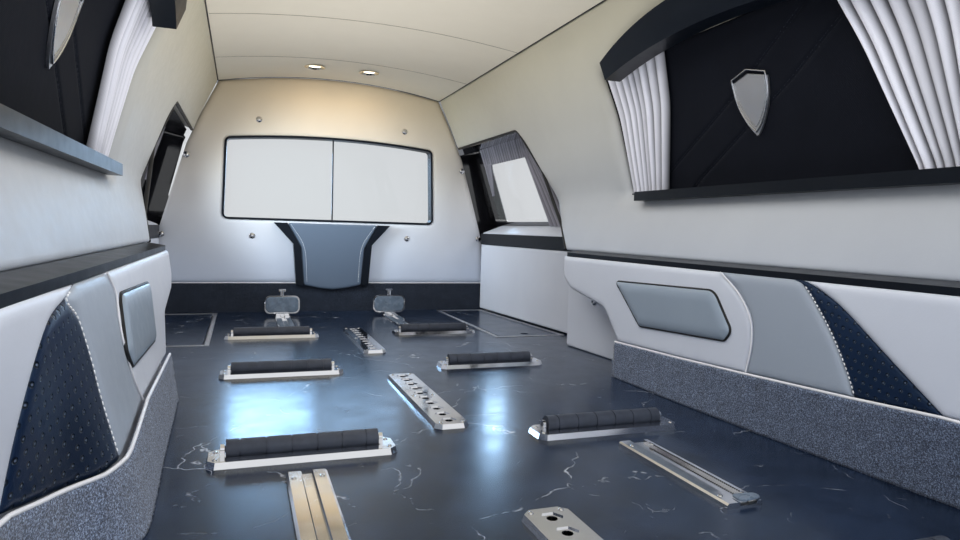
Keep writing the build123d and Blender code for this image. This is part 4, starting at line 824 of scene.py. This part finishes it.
def build_console():
    outline = rounded(CONSOLE, [0.008, 0.03, 0.012, 0.03, 0, 0.03, 0.012, 0.03, 0.008])
    pad("console_pad", cross_surface(WALL_END - CONSOLE_FACE), outline, "slate", "console", puff=0.005, roll=0.012,
        thick=0.0212, grid=0.02)
    edge = smooth_line([(0.194, 0.408), (0.134, 0.304), (0.12, 0.14)], 0.02)
    lines = [([at(side * x, WALL_END - CONSOLE_FACE - 0.0003, z) for x, z in edge], REARWARD) for side in (-1, 1)]
    stitches("console_stitches", lines, "thread", 0.005, 0.003, 0.0008)


# Wheelhouse covers, their pads, piping and carpets

def cover_outline(cover, rear_line, front_line):
    rear, front = rear_line[-1][0], front_line[-1][0]
    foot = [(s, line_height(cover["carpet"], s) + 0.0005) for s in steps_between(rear, front, 0.02)]
    return list(rear_line[:-1]) + foot + list(reversed(front_line[:-1]))


def build_covers(label, side):
    arm = rounded([(1.47, 0.05), *COVER_FRONT, (1.4, BELT_BOTTOM)], [0, 0.06, 0.06, 0.04, 0.022, 0, 0])
    cover = COVERS[label]
    piped, stitched, edge = (smooth_line(cover[seam], 0.01) for seam in ("piped", "stitched", "leather"))
    last = cover["carpet"][-1][1] + 0.0005
    nose = [p for p in reversed(arm[1:-1]) if p[1] > last + 0.002] + [(COVER_END, last)]
    rear = [(COVER_REAR, BELT_BOTTOM), (COVER_REAR, cover["carpet"][0][1])]
    face = cover_surface(side, cover)
    for name, lines, finish, node, puff, roll in (
            ("front", (piped, nose), "light", "panels", 0.007, 0.016),
            ("rear", (rear, edge), "light", "panels", 0.007, 0.016),
            ("middle", (stitched, piped), "mid", "pads", 0.007, 0.018),
            ("leather", (edge, stitched), "leather", "leather", 0.005, 0.014)):
        pad("cover_%s_%s" % (name, label), face, cover_outline(cover, *lines), finish, "cover_" + node, puff=puff,
            roll=roll, thick=0.0137, grid=0.016)
    corners = rounded([(s, z) for s, z, _ in cover["inset"]], [r for _, _, r in cover["inset"]])
    pad("cover_inset_" + label, cover_surface(side, cover, 0.0093), corners, "grey", "cover_pads", puff=0.0084,
        roll=0.026, thick=0.009, grid=0.014)
    # A dark bead round the inset pad's foot stands in for the shadow line there: painted shadow
    bead("inset_shadow_line_" + label, [on(cover_surface(side, cover, 0.001), corners)], 0.003, "seal", cyclic=True)
    foot = [(s, line_height(cover["carpet"], s) + 0.0012) for s in steps_between(COVER_REAR, COVER_END, 0.02)]
    bead("carpet_piping_" + label, [on(cover_surface(side, cover, 0.006), foot)], 0.0029, "piping")
    bead("seam_piping_" + label, [on(cover_surface(side, cover, -0.0006), piped)], 0.0017, "piping")
    row = [(s - 0.0045, z) for s, z in stitched if line_height(cover["carpet"], s) + 0.006 < z < 0.326]
    line = on(cover_surface(side, cover, -0.0012), row)
    stitches("cover_stitches_" + label, [(line, face(*row[0])[1])], "thread", 0.0052, 0.0032, 0.0012)
    build_carpet(label, side, cover)


def build_carpet(label, side, cover):
    """The cut pile band: a leaning face with uneven tufts, closed at the back."""
    chance = np.random.default_rng(7 + side)
    stations = steps_between(COVER_REAR, COVER_END, 0.007)
    rows, count = 20, len(stations)
    verts = []
    for thick, tufted in ((0.0093, True), (0.0003, False)):
        for row in range(rows + 1):
            v = row / rows
            for s in stations:
                top = line_height(cover["carpet"], s)
                x = COVER_X - thick + face_shift(cover, s, top) * v + foot_shift(cover, s) * (1 - v)
                if tufted:
                    x += chance.uniform(-0.001, 0.0006) + (0.0012 if row == rows else 0)
                verts.append(at(side * x, s, 0.0004 + (top - 0.0004) * v))
    corners = [row * count + column for row in range(rows) for column in range(count - 1)]
    faces = closed([[a, a + 1, a + count + 1, a + count] for a in corners], (rows + 1) * count)
    if side > 0:
        faces = [face[::-1] for face in faces]
    add_piece("carpet_band_" + label, mesh_of("carpet_band_" + label, verts, faces, 180), "carpet", replaces="cover_carpets")
    low, high = (0.5912 + face_shift(cover, COVER_END, z) for z in (0, 0.049))
    pad("carpet_front_" + label, lambda x, z: (at(side * x, 1.4885, z), -REARWARD),
        [(low, 0.0005), (0.7275, 0.0005), (0.7275, 0.049), (high, 0.049)], "carpet", "cover_carpets", puff=0.002, roll=0.004,
        thick=0.0088, grid=0.02)


def build_pockets():
    outline = [(1.5, 0.001), (1.988, 0.001), (1.988, 0.2995), (1.851, 0.2995), (1.851, 0.248), (1.796, 0.213),
               (1.576, 0.175), (1.5, 0.086)]
    outline = rounded(outline, [0, 0.01, 0.01, 0, 0.02, 0.03, 0.05, 0])
    frames = []
    for label, side in SIDES.items():
        surface = slanted_surface(side, (0.733, 1.5), (0.703, 1.988))
        pad("pocket_pad_" + label, surface, outline, "light", "pocket_panels", puff=0.004, roll=0.008, thick=0.0176,
            grid=0.03)
        place, normal = surface(1.815, 0.18)
        frames.append(upright(place - normal * 0.0002, normal))
    turned("pocket_buttons", BUTTON, frames, "chrome")


# Side doors

DOOR_LINE = mm(((829, 1965), (757, 3088)))
DOOR_RING_FOOT = (0.8728, 0.4209)


def ring_surface(side):
    """The inner face of the door's window ring, which leans with the glass."""
    normal = Vector((-side * 0.9487, 0, -0.3162))

    def surface(s, z):
        return at(side * (DOOR_RING_FOOT[0] - (z - DOOR_RING_FOOT[1]) / 3), s, z), normal
    return surface


def sill_surface(side):
    """From the black band's top edge up to the foot of the door's window ring; the second value runs over 70 mm."""
    def surface(s, t):
        (xa, sa), (xb, sb) = DOOR_LINE
        low = Vector((side * (xa - 0.004 + (xb - xa) * (s - sa) / (sb - sa)), REAR + s, DECK + 0.395))
        high = Vector((side * 0.867, REAR + s, DECK + 0.438))
        normal = (high - low).cross(Vector((0, side, 0))).normalized()
        return low + (high - low) * (t / 0.07), normal
    return surface


# Each cloth on the door ring: rear and front edge as (z, s), z from and to, length, pleats, swing, seed, rows, ruffle
DOOR_CLOTHS = (
    ("curtain_pleats", ((0.425, 2.152), (0.61, 2.262), (0.79, 2.422)), ((0.425, 2.478), (0.79, 2.558)), 0.44, 0.787, 0.378,
     8, 0.0095, 11, 28, 14, 0.15),
    ("swag", ((0, 2.432),), ((0, 3.06),), 0.738, 0.8205, 0.0825, 22, 0.006, 5, 8, 8, 0),
    ("tail", ((0.59, 3.034), (0.745, 2.955)), ((0, 3.058),), 0.59, 0.745, 0.155, 4, 0.0055, 8, 12, 8, 0),
)


def build_doors(label, side):
    trim = rounded([(2.026, 0.0085), (3.069, 0.0085), (3.069, 0.3355), (2.026, 0.3355)], 0.006)
    ledge = rounded([(2.07, 0.001), (3.06, 0.001), (3.06, 0.07), (2.096, 0.07)], 0.004)
    body = "door_" + label
    proud = slanted_surface(side, *[(x - 0.005, s) for x, s in DOOR_LINE])
    pad("door_pad_" + label, proud, trim, "light", None, body, puff=0.0045, roll=0.01, thick=0.0065, grid=0.03)
    pad("door_sill_pad_" + label, sill_surface(side), ledge, "light", None, body, puff=0.003, roll=0.008,
        thick=0.0055, grid=0.02)
    for name, rear, front, z0, z1, long, pleats, swing, seed, rows, around, ruffle in DOOR_CLOTHS:
        replaces = "door_curtain_" + label if name == "curtain_pleats" else None
        pleated("door_%s_%s" % (name, label), ring_surface(side), (rear, front), z0, z1, pleats, 0.0125, swing, "door_curtain",
                seed + side, body, replaces, rows, around, ruffle)


# Ceiling

CEILING_SEAMS = (2.08, 2.65)


def build_ceiling():
    xs = steps_between(-0.512, 0.512, 0.04)
    lines = [[at(x, s + 0.05 * (1 - (x / 0.512) ** 2), ceiling_height(x) - 0.0002) for x in xs] for s in CEILING_SEAMS]
    bead("ceiling_seams", lines, 0.0013, "seam", resolution=1)
    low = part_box("downlights")[0][2] - DECK
    lens = ((0.034, 0), (0.034, 0.002), (0.022, 0.006), (0.005, 0.008))
    frames = [upright(at(x, LIGHT_S, low + 0.012), -UP) for x in LIGHT_X]
    turned("lamp_lenses", lens, frames, "glow", 24)
    for k, x in enumerate(LIGHT_X):
        area_lamp("downlight_glow_%d" % k, at(x, LIGHT_S, 1.08), at(x, LIGHT_S + 0.1, 0.5), (0.05, 0.05), 0.5,
                  (1, 0.74, 0.46), hide="glossy")


# Floor hardware

ROLLERS = (0.405, 1.037, 1.717, 2.347)
TRAY_TOP = 0.011
PIN_STARTS = (0.2, 1.12, 1.965)
PIN_LONG = 0.494
TRACKS = ((0.311, 0.63, 0.936), (0.24, 2.42, 2.99))
STOP_S = 2.9


def build_screws():
    places = []
    for side in (-1, 1):
        places += [at(side * 0.305 + dx, s + ds, TRAY_TOP) for s in ROLLERS for dx in (-0.149, 0.149) for ds in (-0.02, 0.02)]
        for x, s0, s1 in TRACKS:
            for s in (s0 + 0.03, s1 - 0.03):
                for dx in (-0.022, 0.022):
                    z = 0.0092 - SCREW[3][1] if s0 > 1 else 0.009 if dx < 0 or side < 0 else 0.008
                    places.append(at(side * x + dx, s, z))
    for start in PIN_STARTS:
        places += [at(x, s, 0.01) for s in (start + 0.014, start + PIN_LONG / 2, start + PIN_LONG - 0.014)
                   for x in (-0.024, 0.024)]
    turned("floor_screws", SCREW, [upright(place, UP) for place in places], "chrome", 12)


def build_stops(label, side):
    """A dark padded face on each side of the stops' paddles."""
    outline = rounded([(-0.069, 0.0203), (0.069, 0.0203), (0.069, 0.0883), (-0.069, 0.0883)], 0.02)
    for name, way in (("rear", -1), ("front", 1)):
        def surface(u, v):
            return at(side * TRACKS[1][0] + u, STOP_S + way * 0.0112, v), REARWARD * -way
        pad("stop_%s_face_%s" % (name, label), surface, outline, "paddle", body="stop_" + label, puff=0.0015, roll=0.005,
            thick=0.002, grid=0.012)


def build_track_teeth():
    """The toothed edge of the right rear track and the small pawl at its rear end."""
    x, s0, s1 = TRACKS[0]
    line = [at(x + 0.0225, s, 0.0082) for s in steps_between(s0 + 0.02, s1 - 0.02, 0.05)]
    stitches("track_teeth", [(line, UP)], "seal", 0.0022, 0.0026, 0.0013)
    corners = [(x - 0.01, s0 - 0.002), (x + 0.034, s0 + 0.004), (x + 0.036, s0 + 0.02), (x - 0.006, s0 + 0.026)]
    pad("track_pawl", lambda u, v: (at(u, v, 0.0126), UP), rounded(corners, 0.008), "paddle", puff=0.001, roll=0.003,
        thick=0.0034, grid=0.01)


# Outside: bright lines, door handles, seals

SKIN_LOW = mm(((905, -150), (974, 150), (930, 440)))
SKIN_HIGH = mm(((800, 830), (752, 945), (650, 1050)))
DOOR_WINDOW = mm(((2150, 455), (2270, 600), (2430, 762), (3146, 762), (3146, 455)))
WAIST_HIGH = 0.3
SEAL_RUN = mm(((836, 0), (836, 330), (680, 350), (727, 530), (668, 765), (602, 925), (536, 1062)))


def arc_x(points, z):
    """The x at a height on the arc through three points x, z."""
    a, b, c = (complex(*point) for point in points)
    w = (c - a) / (b - a)
    centre = a + (b - a) * (w - abs(w) ** 2) / (2j * w.imag)
    return centre.real + math.sqrt(max(abs(a - centre) ** 2 - (z - centre.imag) ** 2, 0))


def skin_x(z):
    """The outer skin's x at a height, up to the drip rail."""
    (xa, za), (xb, zb) = SKIN_LOW[-1], SKIN_HIGH[0]
    if z < za:
        return arc_x(SKIN_LOW, z)
    if z > zb:
        return arc_x(SKIN_HIGH, z)
    return xa + (xb - xa) * (z - za) / (zb - za)


def grown(points, distance, radius):
    """A closed outline moved outward, with rounded corners."""
    points = [tuple(p) for p in inset_ring(list(points), -distance)]
    return resample(rounded(points, radius), 0.02)


def build_outside(label, side):
    door = "door_" + label

    def skin_line(points, lift):
        return [at(side * (skin_x(z) + lift), s, z) for s, z in points]

    def waist(start, end):
        return skin_line([(start, WAIST_HIGH), (end, WAIST_HIGH)], 0.0005)

    grip = skin_line([(2.085, 0.175), (2.105, 0.177), (2.285, 0.177), (2.305, 0.175)], 0.026)
    posts = [[at(side * (skin_x(0.176) + out), s, 0.176) for out in (-0.002, 0.024)] for s in (2.105, 2.285)]
    for name, lines, radius, body, cyclic in (
            ("window_surround_", [skin_line(grown(RECESS, 0.021, 0.034), 0.001)], 0.0045, BODY, True),
            ("door_window_surround_", [skin_line(grown(DOOR_WINDOW, 0.008, 0.02), 0.001)], 0.0045, door, True),
            ("drip_rail_", [[at(side * 0.652, s, 1.0515) for s in (0.004, 3.276)]], 0.006, BODY, False),
            ("waist_line_", [waist(0.01, 1.955), waist(3.242, 3.272)], 0.005, BODY, False),
            ("door_waist_line_", [waist(2, 3.19)], 0.005, door, False),
            ("door_handle_", [grip] + posts, 0.0075, door, False)):
        bead(name + label, lines, radius, "chrome", body, cyclic)
    bead("opening_seal_" + label, [[at(side * x, -0.001, z) for x, z in SEAL_RUN]], 0.008, "seal")


# Camera and studio

def camera():
    """The photograph's viewpoint, just behind the rear sill."""
    yaw, pitch, roll = math.radians(19.855), math.radians(3.443), math.radians(1.671)
    data = bpy.data.cameras.new("photo_camera")
    data.lens, data.sensor_width, data.clip_start = 24.905, 36, 0.02
    made = add_object("photo_camera", data)
    turn = Matrix.Rotation(-yaw, 4, "Z") @ Matrix.Rotation(math.pi / 2 - pitch, 4, "X") @ Matrix.Rotation(roll, 4, "Z")
    made.matrix_world = Matrix.Translation(at(-0.4147, -0.16, 0.41)) @ turn
    bpy.context.scene.camera = made


def area_lamp(name, place, target, size, watts, colour=(1, 1, 1), spread=180, hide=None):
    data = bpy.data.lights.new(name, "AREA")
    data.shape = "RECTANGLE"
    data.size, data.size_y = size
    data.energy, data.color, data.spread = watts, colour, math.radians(spread)
    made = add_object(name, data)
    made.location = place
    made.rotation_euler = (Vector(target) - Vector(place)).to_track_quat("-Z", "Y").to_euler()
    made.visible_camera = False
    if hide:
        setattr(made, "visible_" + hide, False)


def studio():
    """A plain pale world, soft lamps round the model and inside it, and a plain floor."""
    scene = bpy.context.scene
    scene.view_settings.view_transform = "Standard"
    scene.world = bpy.data.worlds.new("studio")
    scene.world.use_nodes = True
    tree = scene.world.node_tree
    tree.nodes.clear()
    path = add_node(tree, "ShaderNodeLightPath", {}).outputs
    seen = add_node(tree, "ShaderNodeMath", {0: path["Is Camera Ray"], 1: path["Is Glossy Ray"]}, operation="MAXIMUM")
    light = add_node(tree, "ShaderNodeBackground", {"Color": (0.9, 0.93, 1), "Strength": 0.75})
    shown = add_node(tree, "ShaderNodeBackground", {"Color": (0.86, 0.88, 0.91), "Strength": 1})
    both = add_node(tree, "ShaderNodeMixShader", {0: seen.outputs[0], 1: light.outputs[0], 2: shown.outputs[0]})
    add_node(tree, "ShaderNodeOutputWorld", {0: both.outputs[0]})
    area_lamp("rear_softbox", (-0.2, -3.8, 1.3), (0, 0.6, 0.7), (3.4, 2.2), 74, (0.9, 0.95, 1), hide="glossy")
    area_lamp("inner_down", (0, -0.1, 1.21), (0, -0.1, 0), (0.7, 2.3), 10.5, hide="glossy")
    area_lamp("inner_up", (-0.1, -0.25, 0.25), (-0.1, -0.25, 2), (0.7, 2.3), 7.5, spread=120, hide="glossy")
    area_lamp("door_window_light", at(0.8, 2.93, 0.6), at(-0.2, 0.8, 0.1), (0.1, 0.28), 0.11, (0.45, 0.7, 1), 50,
              "diffuse")
    for name, x, aim, watts, spread in (("left_pane_light", -0.25, -0.17, 0.5, 36), ("right_pane_light", 0.25, 0.25, 0.22, 46)):
        area_lamp(name, at(x, 3.62, 0.64), at(aim, 2, 0.24), (0.44, 0.34), watts, (0.36, 0.64, 1), spread, "diffuse")
    for name, side, watts in (("left_door_light", -1, 2.9), ("right_door_light", 1, 1.1)):
        area_lamp(name, at(side * 0.7, 2.62, 0.62), at(side * -0.45, 3.25, 0.45), (0.3, 0.24), watts, (0.8, 0.92, 1), 80,
                  "glossy")
    area_lamp("key", (3.6, -3, 3.4), (0, 0, 0.6), (2.2, 2.2), 110)
    area_lamp("fill", (-4.2, 1.6, 2.6), (0, 0, 0.5), (2.6, 2), 90)
    corners = [(-12, -12, -0.001), (12, -12, -0.001), (12, 12, -0.001), (-12, 12, -0.001)]
    mesh = mesh_of("stage_floor", corners, [(0, 1, 2, 3)])
    mesh.materials.append(gloss("stage_paper", (0.4, 0.41, 0.43), 0.6, coat=0, grain=0))
    add_object("stage_floor", mesh)


def both_sides(*builders):
    """Each builder's pieces, right and left."""
    for build in builders:
        for label, side in SIDES.items():
            build(label, side)


both_sides(build_walls, build_boards, build_curtains, build_shields)
build_partition()
build_console()
both_sides(build_covers)
build_pockets()
both_sides(build_doors)
build_ceiling()
build_screws()
both_sides(build_stops)
build_track_teeth()
both_sides(build_outside)
camera()
studio()
